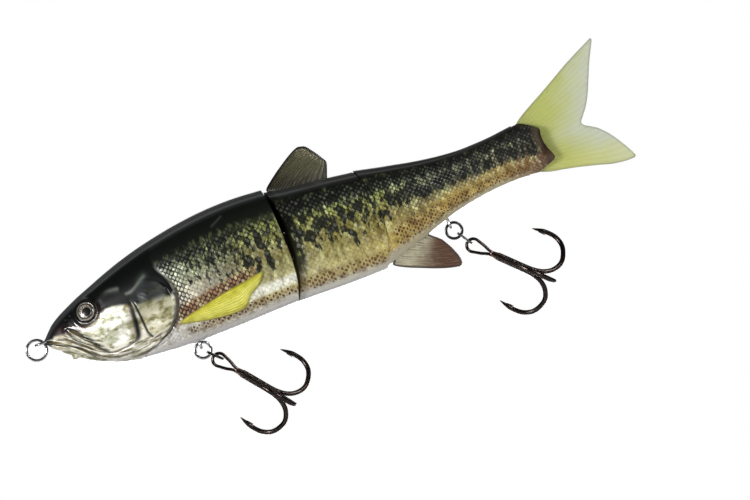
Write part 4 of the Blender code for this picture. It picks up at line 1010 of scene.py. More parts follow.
for side, tag in ((-1, "left"), (1, "right")):
    # head
    xs = np.concatenate([np.linspace(1.6, 4.0, 22)[:-1], np.linspace(4.0, 46.0, 270)[:-1], np.linspace(46.0, 80.6, 190)])
    head = half_skin("head_skin_" + tag, "head", HEAD_LINES, xs, 236, side, HEAD_END, 64.0)
    place, axis = eye_place(side)
    combine(head, [FRONT_POCKET,
                   box((72.2, -3.5, -4.34), (76.4, 3.5, 4.34)), box((76.0, -1.5, -4.34), (82.0, 1.5, 4.34)),
                   tube(nose_path(), 0.50, 12, plane=(0, 0, 1)),
                   tube(front_hanger_path(), 0.50, 12, plane=(1, 0, 0)),
                   box((41.9, -1.7, -19.0), (47.9, 1.7, -16.1)),
                   turned(place, axis, [(3.20, -1.7), (3.20, 0.15), (3.6, 5.0)], 64)])
    tidy(head)
    soften(head, 40)
    paint_skin(head, "head", HEAD_LINES)
    finish_piece(head, BODY, "head", "painted_body", "head_shell_" + tag)
    # middle
    mid = half_skin("middle_skin_" + tag, "mid", MID_LINES, np.linspace(78.0, 112.6, 190), 230, side)
    combine(mid, [ahead_of_face(FRONT_PIN_X, FRONT_FACE), REAR_POCKET,
                  window(FRONT_PIN_X, 14.6, -4.25, 4.25),
                  turned((FRONT_PIN_X, 0, 0), (0, 0, 1), [(1.25, -8.6), (1.25, 11.2)], 24),
                  box((102.6, -3.5, -4.64), (105.2, 3.5, 3.64)), box((104.8, -1.5, -4.64), (113.0, 1.5, 3.64)),
                  slot_tool(DORSAL_SLOT, 0.95)])
    tidy(mid)
    soften(mid, 40)
    paint_skin(mid, "mid", MID_LINES)
    finish_piece(mid, BODY, "mid_body", "painted_body", "mid_shell_" + tag)
    # rear
    rear = half_skin("rear_skin_" + tag, "rear", REAR_LINES, np.linspace(107.0, 166.6, 330), 190, side, REAR_END, 155.0)
    combine(rear, [ahead_of_face(REAR_PIN_X, REAR_FACE),
                   window(REAR_PIN_X, 13.8, -4.56, 3.56),
                   turned((REAR_PIN_X, 0, 0), (0, 0, 1), [(1.25, -9.2), (1.25, 8.2)], 24),
                   tube(rear_hanger_path(), 0.50, 12, plane=(1, 0, 0)),
                   slot_tool(ANAL_SLOT, 0.95),
                   box((149.6, -1.5, -4.9), (158.4, 1.5, 6.4)),
                   prism([(157.3, -1.5), (162.6, -1.5), (169.0, -3.2), (169.0, 3.2), (162.6, 1.5), (157.3, 1.5)], -14.0, 16.0),
                   turned((153.6, 0, 0.6), (0, 1, 0), [(1.15, -3.2), (1.15, 3.2)], 24)])
    tidy(rear)
    soften(rear, 40)
    paint_skin(rear, "rear", REAR_LINES)
    finish_piece(rear, BODY, "rear_body", "painted_body", "rear_shell_" + tag)


# --------------------------------------------------------------------- eyes
def eye_material():
    n = Nodes("eye_paint")
    r, angle, _ = n.split(n.attribute("disc"))
    ray = n.noise(n.join(n.math("MULTIPLY", n.math("COSINE", angle), 6.0), n.math("MULTIPLY", n.math("SINE", angle), 6.0),
                         n.math("MULTIPLY", r, 0.9)), 1.5, 4.0, 0.65)
    iris = n.mix(n.step(ray, 0.42, 0.60), srgb(58, 44, 36), srgb(206, 198, 182))
    iris = n.mix(n.step(r, 1.95, 2.20), iris, srgb(34, 26, 22))
    iris = n.mix(n.math("MULTIPLY", n.step(r, 2.38, 2.50), n.step(ray, 0.36, 0.55, 0.35, 0.9)), iris, srgb(186, 180, 168))
    colour = n.mix(n.step(r, 2.72, 2.84), iris, (0.004, 0.004, 0.004))
    dx = n.math("SUBTRACT", n.math("MULTIPLY", r, n.math("COSINE", angle)), 0.35)
    dz = n.math("ADD", n.math("MULTIPLY", r, n.math("SINE", angle)), 0.35)
    pupil = n.step(n.math("SQRT", n.math("ADD", n.math("MULTIPLY", dx, dx), n.math("MULTIPLY", dz, dz))), 1.42, 1.30)
    colour = n.mix(pupil, colour, (0.003, 0.003, 0.003))
    n.set(colour=colour, metal=n.math("MULTIPLY", n.math("SUBTRACT", 1.0, pupil), 0.35), rough=0.28, coat=1.0, coat_rough=0.02)
    n.set(normal=n.bump(n.math("MULTIPLY", ray, n.math("SUBTRACT", 1.0, pupil)), 0.06, 0.5))
    return n.mat


EYE = eye_material()
for side, tag in ((-1, "left"), (1, "right")):
    place, axis = eye_place(side)
    profile = [(3.05, -1.35), (3.05, -0.05), (3.02, 0.10), (2.95, 0.20), (2.84, 0.25), (2.74, 0.22), (2.66, 0.18)]
    profile += [(2.66 * math.cos(math.pi / 2 * k / 14), 0.18 + 0.86 * math.sin(math.pi / 2 * k / 14)) for k in range(1, 14)]
    profile.append((0.05, 1.04))
    eye = make("eye_lens_" + tag, *turned(place, axis, profile, 72), angle=50)
    p = points_of(eye) - np.array(place)
    ax = np.array(axis)
    p = p - np.outer(p @ ax, ax)
    ex = np.array((1.0, 0, 0)) - ax * ax[0]
    ex /= np.linalg.norm(ex)
    ez = np.array((0, 0, 1.0)) - ax * ax[2]
    ez -= ex * ez.dot(ex)
    ez /= np.linalg.norm(ez)
    put(eye, "disc", np.stack([np.hypot(p @ ex, p @ ez), np.arctan2(p @ ez, p @ ex), np.zeros(len(p))], axis=1))
    finish_piece(eye, EYE, "head", "eye_lens", "eye_" + tag)


# --------------------------------------------------------------------- fins
def patch(c0, c1, d0, d1, rays, along, sweep=1.0):
    """Coons patch in the centre plane. s runs over the rays from the leading
    edge, t from the root to the margin."""
    c0, c1 = even(spline(c0), 400), even(spline(c1), rays)
    where = np.linspace(0, 1, rays) ** sweep * 399
    c0 = np.stack([np.interp(where, np.arange(400), c0[:, k]) for k in (0, 1)], axis=1)
    d0, d1 = even(spline(d0), along), even(spline(d1), along)
    s = np.linspace(0, 1, rays)[:, None, None]
    t = np.linspace(0, 1, along)[None, :, None]
    p = ((1 - t) * c0[:, None] + t * c1[:, None] + (1 - s) * d0[None] + s * d1[None]
         - ((1 - s) * (1 - t) * c0[0] + s * (1 - t) * c0[-1] + (1 - s) * t * c1[0] + s * t * c1[-1]))
    return p, s[..., 0] + 0 * t[..., 0], t[..., 0] + 0 * s[..., 0]


def fin_mesh(name, p, half, extra):
    """Closed two-sided sheet from a grid of (x, z) points."""
    n, m = p.shape[:2]
    left = np.stack([p[..., 0], -half, p[..., 1]], axis=-1).reshape(-1, 3)
    right = np.stack([p[..., 0], half, p[..., 1]], axis=-1).reshape(-1, 3)
    verts = np.vstack([left, right])
    idx = np.arange(n * m).reshape(n, m)
    quad = np.stack([idx[:-1, :-1], idx[:-1, 1:], idx[1:, 1:], idx[1:, :-1]], axis=-1).reshape(-1, 4)
    faces = quad.tolist() + (quad[:, ::-1] + n * m).tolist()
    loop = np.concatenate([idx[0, :-1], idx[:-1, -1], idx[-1, :0:-1], idx[:0:-1, 0]])
    nxt = np.roll(loop, -1)
    faces += np.stack([loop, loop + n * m, nxt + n * m, nxt], axis=-1).tolist()
    obj = make(name, verts, faces, angle=55)
    put(obj, "fin", np.vstack([extra.reshape(-1, 3), extra.reshape(-1, 3)]))
    return obj


def fin_shape(s, t, rays, root_half, edge_half, depth):
    """Half thickness with raised rays and a rounded rim."""
    ray = 0.5 + 0.5 * np.cos(2 * np.pi * s * rays)
    base = root_half + (edge_half - root_half) * t
    half = base * (1 - depth * (1 - ray**1.5) * ramp(0.02, 0.2, t))
    # segments along the soft rays
    half = half * (1 - 0.06 * ramp(0.35, 0.6, t) * (0.5 + 0.5 * np.cos(t * 90)) * ray)
    rim = np.minimum(np.minimum(s, 1 - s) * 22, (1 - t) * 16)
    return half * (0.22 + 0.78 * np.sqrt(np.clip(rim, 0, 1)))


def serrate(p, t, s, rays, size):
    """Ray ends stand out of the free margin."""
    step = (p[:, -1] - p[:, -2])
    step = step / (np.linalg.norm(step, axis=1, keepdims=True) + 1e-9)
    out = size * (0.5 + 0.5 * np.cos(2 * np.pi * s[:, -1] * rays)) - size
    p = p.copy()
    fade = ramp(0.9, 1.0, t)[..., None]
    return p + fade * (step * out[:, None])[:, None, :]


def fin_material(name, root, middle, edge, light, rays, rough=0.38, spots=0.0, glow=0.0):
    n = Nodes(name)
    s, t, border = n.split(n.attribute("fin"))
    where = n.place()
    wave = n.math("COSINE", n.math("MULTIPLY", s, 2 * math.pi * rays))
    ray = n.step(wave, -0.2, 0.75)
    drift = n.noise(where, 0.55, 4.0)
    colour = n.mix(n.step(n.math("ADD", t, n.math("MULTIPLY", n.math("SUBTRACT", drift, 0.5), 0.35)), 0.05, 0.75), root, middle)
    streak = n.noise(n.join(n.math("MULTIPLY", s, 26.0), n.math("MULTIPLY", t, 2.2)), 1.6, 4.0, 0.6)
    uneven = n.noise(n.join(n.math("MULTIPLY", s, 9.0), n.math("MULTIPLY", t, 3.0)), 1.0, 3.0)
    colour = n.mix(n.math("MULTIPLY", n.math("SUBTRACT", 1.0, ray), n.step(uneven, 0.35, 0.65, 0.15, 0.75)), colour,
                   n.scale(colour, 0.38))
    colour = n.mix(n.math("MULTIPLY", n.step(streak, 0.52, 0.72), 0.45), colour, light)
    colour = n.mix(n.math("MULTIPLY", n.step(streak, 0.46, 0.30), 0.5), colour, edge)
    if spots:
        fleck = n.noise(n.join(n.math("MULTIPLY", s, 30.0), n.math("MULTIPLY", t, 14.0)), 1.5, 1.0)
        near = n.math("MULTIPLY", n.step(t, 0.72, 0.93), n.step(fleck, 0.52, 0.60))
        colour = n.mix(n.math("MULTIPLY", near, spots), colour, srgb(176, 170, 146))
    colour = n.mix(n.step(border, 0.9, 0.25), colour, edge)
    n.set(colour=colour, rough=n.math("ADD", rough, n.math("MULTIPLY", drift, 0.12)), coat=0.35, coat_rough=0.18)
    height = n.math("ADD", n.math("MULTIPLY", ray, 0.6), n.math("MULTIPLY", streak, 0.4))
    n.set(normal=n.bump(height, 0.10, 0.55))
    if glow:
        thin = n.new("ShaderNodeBsdfTranslucent")
        n.feed(thin.inputs["Color"], colour)
        both = n.new("ShaderNodeMixShader")
        both.inputs[0].default_value = glow
        n.link(n.bsdf.outputs[0], both.inputs[1])
        n.link(thin.outputs[0], both.inputs[2])
        n.link(both.outputs[0], n.out.inputs["Surface"])
    return n.mat


def border_of(p):
    """Distance of every grid point to the nearest free edge, in mm."""
    flat = p.reshape(-1, 2)
    free = np.vstack([p[0], p[:, -1], p[-1]])
    out = np.full(len(flat), 1e9)
    for q in free[::2]:
        out = np.minimum(out, np.hypot(flat[:, 0] - q[0], flat[:, 1] - q[1]))
    return out.reshape(p.shape[:2])


# dorsal fin
RAYS = 17
p, s, t = patch([(81.6, 16.4), (85.0, 15.4), (90.0, 14.7), (95.0, 14.0), (99.0, 13.4)],
                [(95.0, 27.0), (96.9, 26.35), (98.3, 24.7), (99.6, 22.8), (101.0, 20.3)],
                [(81.6, 16.2), (81.1, 17.3), (81.0, 18.5), (82.8, 20.1), (85.5, 22.05), (88.2, 23.8), (90.6, 25.25), (92.6, 26.3),
                 (94.0, 26.85), (95.0, 27.0)],
                [(99.0, 13.4), (99.9, 15.8), (100.6, 17.6), (101.1, 19.2), (101.0, 20.3)], RAYS * 10 + 1, 110, 2.2)
p = serrate(p, t, s, RAYS, 0.32)
dorsal = fin_mesh("dorsal_fin_soft", p, fin_shape(s, t, RAYS, 0.70, 0.40, 0.45), np.stack([s, t, border_of(p)], axis=-1))
finish_piece(dorsal, fin_material("dorsal_soft", srgb(44, 40, 27), srgb(78, 76, 50), srgb(16, 15, 11), srgb(124, 122, 86),
                                  RAYS, spots=0.7), "mid_body", "fin_soft", "dorsal_fin")

# anal fin
RAYS = 15
p, s, t = patch([(109.2, -16.0), (112.0, -14.3), (116.0, -13.0), (121.4, -11.7)],
                [(127.4, -25.1), (128.4, -24.4), (128.5, -22.6), (127.8, -20.3), (126.8, -18.0), (125.4, -15.6)],
                [(109.2, -16.0), (108.5, -17.1), (109.6, -18.1), (112.8, -19.8), (116.5, -21.4), (120.0, -22.9), (124.0, -24.3),
                 (127.4, -25.1)],
                [(121.4, -11.7), (122.8, -13.2), (124.2, -14.4), (125.4, -15.6)], RAYS * 10 + 1, 110, 1.5)
p = serrate(p, t, s, RAYS, 0.22)
anal = fin_mesh("anal_fin_soft", p, fin_shape(s, t, RAYS, 0.70, 0.40, 0.42), np.stack([s, t, border_of(p)], axis=-1))
finish_piece(anal, fin_material("anal_soft", srgb(204, 200, 172), srgb(92, 62, 44), srgb(58, 40, 30), srgb(166, 146, 116), RAYS),
             "rear_body", "fin_soft", "anal_fin")

# tail fin: one soft piece across the flex line
RAYS = 22
p, s, t = patch([(152.0, 5.2), (152.0, 2.0), (152.0, -1.4), (152.0, -4.5)],
                [(189.6, 25.0), (190.0, 24.4), (188.6, 21.6), (187.0, 18.6), (185.0, 14.2), (183.0, 9.8), (181.0, 6.3),
                 (179.2, 4.0), (177.9, 2.3), (178.4, 1.0), (180.0, 0.0), (182.0, -1.4), (184.5, -4.1), (186.5, -7.1),
                 (188.5, -10.6), (189.6, -13.1), (189.0, -13.8)],
                [(152.0, 5.2), (156.0, 6.6), (158.6, 8.6), (160.8, 10.2), (163.6, 11.8), (170.0, 15.1), (175.0, 17.8),
                 (180.0, 20.5), (185.0, 22.9), (189.6, 25.0)],
                [(152.0, -4.5), (157.0, -5.2), (160.0, -7.0), (163.6, -8.4), (168.0, -9.3), (173.0, -10.5),
                 (178.0, -11.9), (182.0, -13.1), (186.0, -13.75), (189.0, -13.8)], RAYS * 8 + 1, 150)
half = fin_shape(s, t, RAYS, 1.05, 0.42, 0.16)
half = np.where(p[..., 0] < 163.0, np.minimum(half, 1.15), half)
tail = fin_mesh("tail_fin_soft", p, half, np.stack([s, t, border_of(p)], axis=-1))


def tail_material():
    n = Nodes("tail_soft")
    s, t, border = n.split(n.attribute("fin"))
    where = n.place()
    ray = n.step(n.math("COSINE", n.math("MULTIPLY", s, 2 * math.pi * RAYS)), -0.4, 0.8)
    drift = n.noise(where, 0.18, 3.0)
    streak = n.noise(n.join(n.math("MULTIPLY", s, 40.0), n.math("MULTIPLY", t, 1.6)), 1.2, 4.0, 0.6)
    colour = n.mix(n.step(n.math("ADD", t, n.math("MULTIPLY", n.math("SUBTRACT", drift, 0.5), 0.3)), 0.45, 1.12),
                   srgb(208, 213, 132), srgb(222, 226, 218))
    colour = n.mix(n.math("MULTIPLY", n.step(n.split(where)[2], -4.0, -10.0), 0.4), colour, srgb(232, 232, 156))
    colour = n.mix(n.math("MULTIPLY", n.math("SUBTRACT", 1.0, ray), 0.10), colour, srgb(160, 164, 100))
    colour = n.mix(n.math("MULTIPLY", n.step(streak, 0.5, 0.75), 0.22), colour, srgb(222, 224, 176))
    colour = n.mix(n.math("MULTIPLY", n.step(border, 0.75, 0.1), 0.55), colour, srgb(150, 152, 130))
    n.set(colour=colour, rough=0.42, coat=0.15, coat_rough=0.25, specular=0.35)
    n.set(normal=n.bump(n.math("ADD", n.math("MULTIPLY", ray, 0.5), n.math("MULTIPLY", streak, 0.5)), 0.05, 0.45))
    thin = n.new("ShaderNodeBsdfTranslucent")
    n.feed(thin.inputs["Color"], colour)
    both = n.new("ShaderNodeMixShader")
    both.inputs[0].default_value = 0.45
    n.link(n.bsdf.outputs[0], both.inputs[1])
    n.link(thin.outputs[0], both.inputs[2])
    n.link(both.outputs[0], n.out.inputs["Surface"])
    return n.mat


tail.data.materials.clear()
tail.data.materials.append(tail_material())
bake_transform(tail)
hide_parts("tail_fin_tab", "tail_fin_blade")

# pectoral fins lie along the flanks
PECTORAL_TOP = ((41.6, -9.8), (44.5, -8.7), (50.0, -7.6), (55.0, -6.6), (60.0, -5.8),
                (65.0, -5.2), (69.0, -4.5), (71.0, -4.2))
PECTORAL_BOTTOM = ((41.6, -10.2), (46.0, -11.2), (50.0, -12.1), (55.0, -12.9),
                   (60.0, -13.1), (62.5, -12.5), (65.0, -9.9), (68.0, -8.1),
                   (70.0, -6.3), (71.0, -4.8))


def pectoral_material():
    n = Nodes("pectoral_soft")
    v, u, border = n.split(n.attribute("fin"))
    where = n.place()
    fan = n.math("ADD", n.math("MULTIPLY", v, 9.0), n.math("MULTIPLY", u, 1.2))
    ray = n.step(n.math("COSINE", n.math("MULTIPLY", fan, 2 * math.pi)), -0.3, 0.8)
    drift = n.noise(where, 0.45, 4.0)
    colour = n.mix(n.step(drift, 0.35, 0.65), srgb(190, 184, 40), srgb(222, 218, 86))
    centre = n.math("MULTIPLY", n.step(n.math("ABSOLUTE", n.math("SUBTRACT", v, 0.46)), 0.34, 0.08), n.step(u, 0.08, 0.3))
    colour = n.mix(n.math("MULTIPLY", centre, 0.5), colour, srgb(236, 233, 120))
    colour = n.mix(n.math("MULTIPLY", n.math("SUBTRACT", 1.0, ray), 0.32), colour, srgb(142, 134, 40))
    colour = n.mix(n.math("MULTIPLY", n.step(border, 0.7, 0.1), 0.6), colour, srgb(120, 112, 36))
    n.set(colour=colour, rough=0.34, coat=0.5, coat_rough=0.12)
    n.set(normal=n.bump(n.math("ADD", ray, n.math("MULTIPLY", drift, 0.4)), 0.08, 0.5))
    return n.mat


PECTORAL = pectoral_material()
for side, tag in ((-1, "left"), (1, "right")):
    us = np.linspace(0, 1, 190)
    vs = np.linspace(0, 1, 72)
    u, v = np.meshgrid(us, vs, indexing="ij")
    x = 41.6 + 29.4 * u
    zu, zl = curve(PECTORAL_TOP, x), curve(PECTORAL_BOTTOM, x)
    z = zl + (zu - zl) * v
    outline = [(41.6 + 29.4 * k, float(curve(PECTORAL_TOP, 41.6 + 29.4 * k))) for k in us[::4]]
    outline += [(41.6 + 29.4 * k, float(curve(PECTORAL_BOTTOM, 41.6 + 29.4 * k))) for k in us[::-4]]
    edge, _ = to_line(outline, x, z, closed=True)
    base = flank_y(HEAD_LINES, x, z) + 0.16
    fan = 9.0 * v + 1.2 * u
    ray = 0.5 + 0.5 * np.cos(2 * np.pi * fan)
    crown = np.sqrt(np.clip(edge / 1.3, 0, 1))
    out = base + 0.10 + crown * (0.42 + 0.26 * np.sin(np.pi * v)) + 0.13 * ray * crown * ramp(0.02, 0.2, u)
    out += 0.12 * np.exp(-((v - 0.52 + 0.1 * u) / 0.05) ** 2) * crown
    # the tip lifts a little off the flank
    lift = 0.25 * ramp(0.75, 1.0, u)
    inner = np.stack([x, side * (base + lift * 0.6), z], axis=-1)
    outer = np.stack([x, side * (out + lift), z], axis=-1)
    n, m = x.shape
    verts = np.vstack([inner.reshape(-1, 3), outer.reshape(-1, 3)])
    idx = np.arange(n * m).reshape(n, m)
    quad = np.stack([idx[:-1, :-1], idx[:-1, 1:], idx[1:, 1:], idx[1:, :-1]], axis=-1).reshape(-1, 4)
    faces = quad.tolist() + (quad[:, ::-1] + n * m).tolist()
    loop = np.concatenate([idx[0, :-1], idx[:-1, -1], idx[-1, :0:-1], idx[:0:-1, 0]])
    nxt = np.roll(loop, -1)
    faces += np.stack([loop, loop + n * m, nxt + n * m, nxt], axis=-1).tolist()
    fin = make("pectoral_soft_" + tag, verts, faces, angle=55)
    extra = np.stack([v, u, edge], axis=-1).reshape(-1, 3)
    put(fin, "fin", np.vstack([extra, extra]))
    finish_piece(fin, PECTORAL, "head", "pectoral_soft", "pectoral_fin_" + tag)


# -------------------------------------------------------------- metal parts
def metal_material(name, colour, tint, rough, wear=0.5, coat=0.0, streaks=1.0):
    n = Nodes(name)
    where = n.place()
    cloud = n.noise(where, 0.9, 5.0, 0.6)
    fine = n.noise(n.place((1, 1, 1)), 6.0, 3.0)
    base = n.mix(n.math("MULTIPLY", n.step(cloud, 0.42, 0.70), wear), colour, tint)
    n.set(colour=base, metal=1.0, coat=coat, coat_rough=0.08)
    n.set(rough=n.math("ADD", rough, n.math("MULTIPLY", n.math("ADD", cloud, fine), 0.10)))
    n.set(normal=n.bump(fine, 0.015 * streaks, 0.5))
    return n.mat


WIRE = metal_material("steel_wire", srgb(196, 196, 196), srgb(134, 132, 128), 0.10)
RING = metal_material("ring_steel", srgb(186, 188, 190), srgb(96, 96, 98), 0.12, 0.6)
# a darker copy of the ring steel: painted shade for the split rings that look dark
RING_STEEL_SHADED = metal_material("ring_steel_painted_shade", srgb(92, 92, 94), srgb(40, 39, 40), 0.16, 0.7)
HOOK = metal_material("hook_black_nickel", srgb(52, 47, 46), srgb(98, 82, 74), 0.14, 0.45)
BRAZE = metal_material("hook_braze", srgb(128, 108, 98), srgb(70, 60, 56), 0.24, 0.7)
LEAD = metal_material("ballast_lead", srgb(92, 92, 96), srgb(60, 60, 64), 0.45, 0.8)
PIN_METAL = metal_material("hinge_pin_steel", srgb(168, 168, 170), srgb(120, 120, 122), 0.18)


def tongue_material():
    n = Nodes("hinge_plastic")
    where = n.place()
    grain = n.noise(where, 2.0, 5.0)
    n.set(colour=n.mix(grain, (0.010, 0.010, 0.010), (0.030, 0.029, 0.027)), rough=0.42)
    n.set(normal=n.bump(grain, 0.03, 0.4))
    return n.mat


TONGUE = tongue_material()


def carry(node, material):
    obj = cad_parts[node]
    if obj.material_slots:
        for s in obj.material_slots:
            s.material = material
    else:
        obj.data.materials.append(material)


for node, material, slot in (("head_ballast_weight", LEAD, "ballast_metal"), ("mid_ballast_weight", LEAD, "ballast_metal"),
                             ("front_hinge_tongue", TONGUE, "hinge_plastic"), ("rear_hinge_tongue", TONGUE, "hinge_plastic"),
                             ("front_hinge_pin", PIN_METAL, "steel_wire"), ("rear_hinge_pin", PIN_METAL, "steel_wire"),
                             ("tail_fin_pin", PIN_METAL, "steel_wire")):
    carry(node, material)

for name, path, plane, body, node in (
        ("line_tie_loop", nose_path(), (0, 0, 1), "head", "line_tie_wire"),
        ("front_hanger_wire", front_hanger_path(), (1, 0, 0), "head", "front_hook_hanger"),
        ("rear_hanger_wire", rear_hanger_path(), (1, 0, 0), "rear_body", "rear_hook_hanger")):
    radius = 0.425 if body == "head" and node == "line_tie_wire" else 0.40
    wire = make(name, *tube(spline(path, 4), radius, 16, plane=plane), angle=60)
    finish_piece(wire, WIRE, body, "steel_wire", node)


def split_ring(name, centre, e1, e2, radius, material, body, node, start=0.0, slim=1.0):
    """Two flat coils of one wire, with the step where they cross over."""
    c = np.array(centre, float)
    e1, e2 = (np.array(v, float) / np.linalg.norm(v) for v in (e1, e2))
    normal = np.cross(e1, e2)
    turns = 1.97
    path = []
    count = 190
    for k in range(count + 1):
        w = k / count * turns
        a = start + 2 * math.pi * w
        offset = -0.205 + 0.41 * float(ramp(0.90, 1.08, w))
        path.append(c + (e1 * math.cos(a) + e2 * math.sin(a)) * radius + normal * offset)
    obj = make(name, *tube(path, 0.48 * slim, 14, plane=normal, flat=0.20 / 0.48), angle=50)
    return finish_piece(obj, material, body, "ring_steel", node)


split_ring("nose_ring", (-2.1, 0, -1.4), (1, 0, 0), (0, 0, 1), 3.1, RING, "nose_ring", "nose_split_ring", 2.2, 0.85)
for tag, centre, d2, materials in (("front", (45.1, -20.0), (0.70, -0.714), (RING, RING_STEEL_SHADED)),
                                   ("rear", (129.65, -14.25), (0.53, -0.848), (RING_STEEL_SHADED, RING))):
    d = np.array((d2[0], 0, d2[1]), float)
    d /= np.linalg.norm(d)
    c1 = np.array((centre[0], 0, centre[1]))
    split_ring(tag + "_ring_upper", c1, (1, 0, 0), (0, 0, 1), 2.45, materials[0], tag + "_ring_upper",
               tag + "_split_ring_upper", 0.6, 0.90)
    split_ring(tag + "_ring_lower", c1 + d * 4.05, d, (0, 1, 0), 2.45, materials[1], tag + "_ring_lower",
               tag + "_split_ring_lower", 1.9)

BEND_LINE = ((-13.5, 0.62), (-9.5, 0.62), (-6.5, 0.85), (-3.6, 1.8), (-1.3, 3.8),
             (0.0, 7.0), (-0.5, 10.2), (-2.0, 12.9), (-4.6, 14.5), (-7.6, 14.8),
             (-10.2, 14.4), (-12.3, 13.9))


def treble_hook(tag, end, direction):
    a = np.array((direction[0], 0, direction[1]), float)
    a /= np.linalg.norm(a)
    e = np.array((end[0], 0, end[1]), float)
    p = np.array((-a[2], 0, a[0]))
    y = np.array((0, 1.0, 0))
    top = -28.7

    def at(s, r, q):
        return e + a * s + q * r

    solids = []
    # eye: one wire bent round and closed against the shank
    loop = []
    for k in range(25):
        w = math.pi * (k / 24) * 1.16 - math.pi * 0.08
        loop.append(at(top + 2.0 - 2.0 * math.sin(w), 2.0 * math.cos(w), p))
    side_a = spline([loop[-1], at(top + 5.2, -1.25, p), at(top + 7.4, -0.50, p), at(top + 10.5, -0.46, p), at(top + 13.0, -0.42, p)], 6)
    side_b = spline([loop[0], at(top + 5.2, 1.25, p), at(top + 7.4, 0.50, p), at(top + 9.5, 0.46, p)], 6)
    path = list(side_b[::-1]) + loop[1:-1] + list(side_a)
    radii = [0.50] * len(path)
    for k in range(5):
        radii[k] = 0.30 + 0.032 * k
        radii[-1 - k] = 0.22 + 0.05 * k
    solids.append(tube(path, radii, 14, plane=y))
    for k in range(3):
        turn = math.radians(-90 + 120 * k)
        q = p * math.cos(turn) + y * math.sin(turn)
        side = np.cross(q, a)
        line = [(-20.6, 0.52), (-17.5, 0.60)] + list(BEND_LINE)
        pts = spline([at(s, r, q) for s, r in line], 8)
        n = len(pts)
        d = np.r_[0, np.cumsum(np.linalg.norm(np.diff(pts, axis=0), axis=1))]
        left = d[-1] - d
        radii = 0.75 * np.clip(0.10 + 0.90 * (left / 3.4) ** 0.8, 0, 1)
        radii = np.where(d < 2.0, 0.42 + 0.20 * d / 2.0, radii)
        radii = np.minimum(radii, 0.75)
        solids.append(tube(pts, radii, 14, plane=side))
        # barb: a sliver raised on the inside of the point
        i = int(np.argmin(np.abs(left - 3.9)))
        tip_dir = pts[-1] - pts[i]
        tip_dir /= np.linalg.norm(tip_dir)
        inward = -q - tip_dir * np.dot(-q, tip_dir)
        inward /= np.linalg.norm(inward)
        foot = pts[i] + inward * 0.30 + tip_dir * 1.2
        barb = [foot + tip_dir * 0.8, foot + inward * 0.20, foot - tip_dir * 0.9 + inward * 0.52, foot - tip_dir * 1.75 + inward * 0.92]
        solids.append(tube(barb, [0.10, 0.30, 0.22, 0.05], 8, plane=side, flat=0.8))
    # brazed core that fills between the wires
    core = [(0.35, -21.2), (0.72, -20.2), (0.80, -17.0), (0.82, -9.0), (0.62, -6.6), (0.30, -5.2)]
    ax = Vector(a)
    solids.append(turned(e, ax, core, 20))
    hook = unite(tag + "_treble", solids, 45)
    hook.data.materials.clear()
    hook.data.materials.append(HOOK)
    hook.data.materials.append(BRAZE)
    pts = points_of(hook)
    index = []
    for poly in hook.data.polygons:
        c = pts[list(poly.vertices)].mean(axis=0) - e
        s = c @ a
        r = np.linalg.norm(c - a * s)
        rough = 0.35 * math.sin(2.3 * s + 1.0) + 0.3 * math.sin(5.1 * s)
        index.append(1 if -21.0 < s < -6.0 and r < 0.93 + 0.12 * rough else 0)
    hook.data.polygons.foreach_set("material_index", index)
    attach(hook, tag + "_hook")
    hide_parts(tag + "_treble_hook")


treble_hook("front", (65.0, -45.6), (0.616, -0.788))
treble_hook("rear", (152.1, -39.7), (0.70, -0.714))


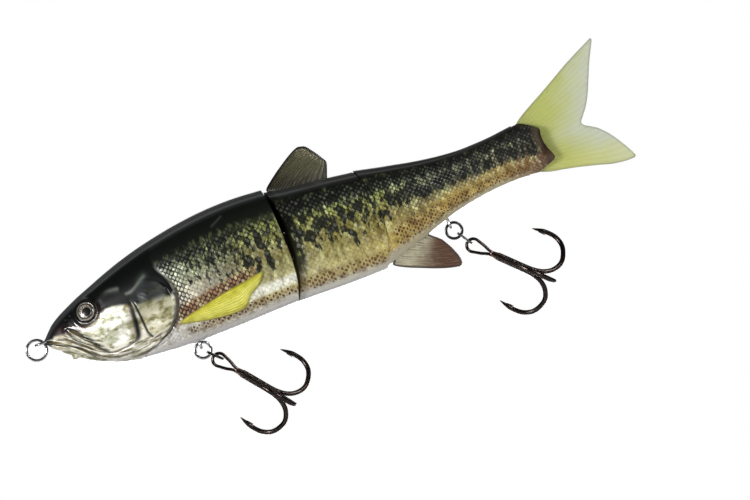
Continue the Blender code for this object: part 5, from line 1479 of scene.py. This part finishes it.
# ------------------------------------------------------------------- studio
def studio():
    scene = bpy.context.scene
    n = Nodes("studio_floor")
    n.set(colour=(0.86, 0.86, 0.86), rough=0.7, specular=0.2)
    floor = make("studio_floor", [(-1500, -900, -330), (1700, -900, -330), (1700, 330, -330), (-1500, 330, -330),
                                  (-1500, -900, -331), (1700, -900, -331), (1700, 330, -331), (-1500, 330, -331)],
                 [(0, 1, 2, 3), (4, 7, 6, 5), (0, 4, 5, 1), (1, 5, 6, 2), (2, 6, 7, 3), (3, 7, 4, 0)], smooth=False)
    floor.data.materials.append(n.mat)
    floor.visible_camera = False      # it lights and shadows, and never hides the underside

    world = bpy.data.worlds.new("studio")
    scene.world = world
    world.use_nodes = True
    tree = world.node_tree
    tree.nodes.clear()
    out = tree.nodes.new("ShaderNodeOutputWorld")
    seen = tree.nodes.new("ShaderNodeBackground")
    seen.inputs[0].default_value = (1, 1, 1, 1)
    seen.inputs[1].default_value = 1.0
    lit = tree.nodes.new("ShaderNodeBackground")
    lit.inputs[1].default_value = 1.0
    coord = tree.nodes.new("ShaderNodeTexCoord")
    split = tree.nodes.new("ShaderNodeSeparateXYZ")
    tree.links.new(coord.outputs["Generated"], split.inputs[0])

    def band(source, start, end):
        node = tree.nodes.new("ShaderNodeMapRange")
        node.interpolation_type = "SMOOTHSTEP"
        node.inputs["From Min"].default_value = start
        node.inputs["From Max"].default_value = end
        tree.links.new(source, node.inputs["Value"])
        return node.outputs[0]

    def arith(op, a, b):
        node = tree.nodes.new("ShaderNodeMath")
        node.operation = op
        for socket, v in zip(node.inputs, (a, b)):
            if isinstance(v, float):
                socket.default_value = v
            else:
                tree.links.new(v, socket)
        return node.outputs[0]

    # a dark room in front, a pale wall behind and above, a pale floor
    wall = arith("MULTIPLY", band(split.outputs["Y"], 0.02, 0.30), band(split.outputs["Z"], -0.15, 0.25))
    floor_glow = band(split.outputs["Z"], -0.35, -0.90)
    level = arith("ADD", arith("MULTIPLY", wall, 0.11), arith("ADD", arith("MULTIPLY", floor_glow, 2.3), 0.04))
    tree.links.new(level, lit.inputs[1])
    path = tree.nodes.new("ShaderNodeLightPath")
    mix = tree.nodes.new("ShaderNodeMixShader")
    tree.links.new(path.outputs["Is Camera Ray"], mix.inputs[0])
    tree.links.new(lit.outputs[0], mix.inputs[1])
    tree.links.new(seen.outputs[0], mix.inputs[2])
    tree.links.new(mix.outputs[0], out.inputs["Surface"])

    def softbox(name, at, towards, width, height, power, colour=(1, 1, 1)):
        light = bpy.data.lights.new(name, "AREA")
        light.shape = "RECTANGLE"
        light.size, light.size_y = width, height
        light.energy = power
        light.color = colour
        obj = bpy.data.objects.new(name, light)
        scene.collection.objects.link(obj)
        obj.location = at
        obj.rotation_mode = "QUATERNION"
        obj.rotation_quaternion = (Vector(towards) - Vector(at)).to_track_quat("-Z", "Y")
        obj.visible_camera = False

    softbox("key", (-0.62, -0.85, 0.28), (0.05, 0, 0), 0.30, 0.22, 10.2)
    softbox("side", (0.85, -0.75, 0.22), (0.12, 0, 0), 0.25, 0.30, 6.0)
    softbox("under", (0.05, -0.80, -0.60), (0.10, 0, 0), 0.60, 0.25, 6.4)
    softbox("top", (0.10, 0.30, 0.95), (0.10, 0, 0), 1.1, 0.22, 0.45)
    softbox("rear", (0.25, 1.00, 0.25), (0.10, 0, 0), 0.60, 0.35, 0.9)
    softbox("far", (0.05, 0.95, -0.28), (0.08, 0, 0), 0.70, 0.30, 4.0)

    camera = bpy.data.cameras.new("camera")
    camera.sensor_width = 36.0
    camera.lens = 36.0 * 2.0 / 0.22866
    camera.clip_start, camera.clip_end = 0.05, 20.0
    obj = bpy.data.objects.new("camera", camera)
    scene.collection.objects.link(obj)
    roll = math.radians(21.6)
    right = Vector((math.cos(roll), 0, -math.sin(roll)))
    up = Vector((math.sin(roll), 0, math.cos(roll)))
    back = right.cross(up)
    obj.matrix_world = Matrix.Translation((0.10503, -2.0, -0.01092)) @ Matrix((right, up, back)).transposed().to_4x4()
    scene.camera = obj
    scene.view_settings.view_transform = "Standard"


studio()
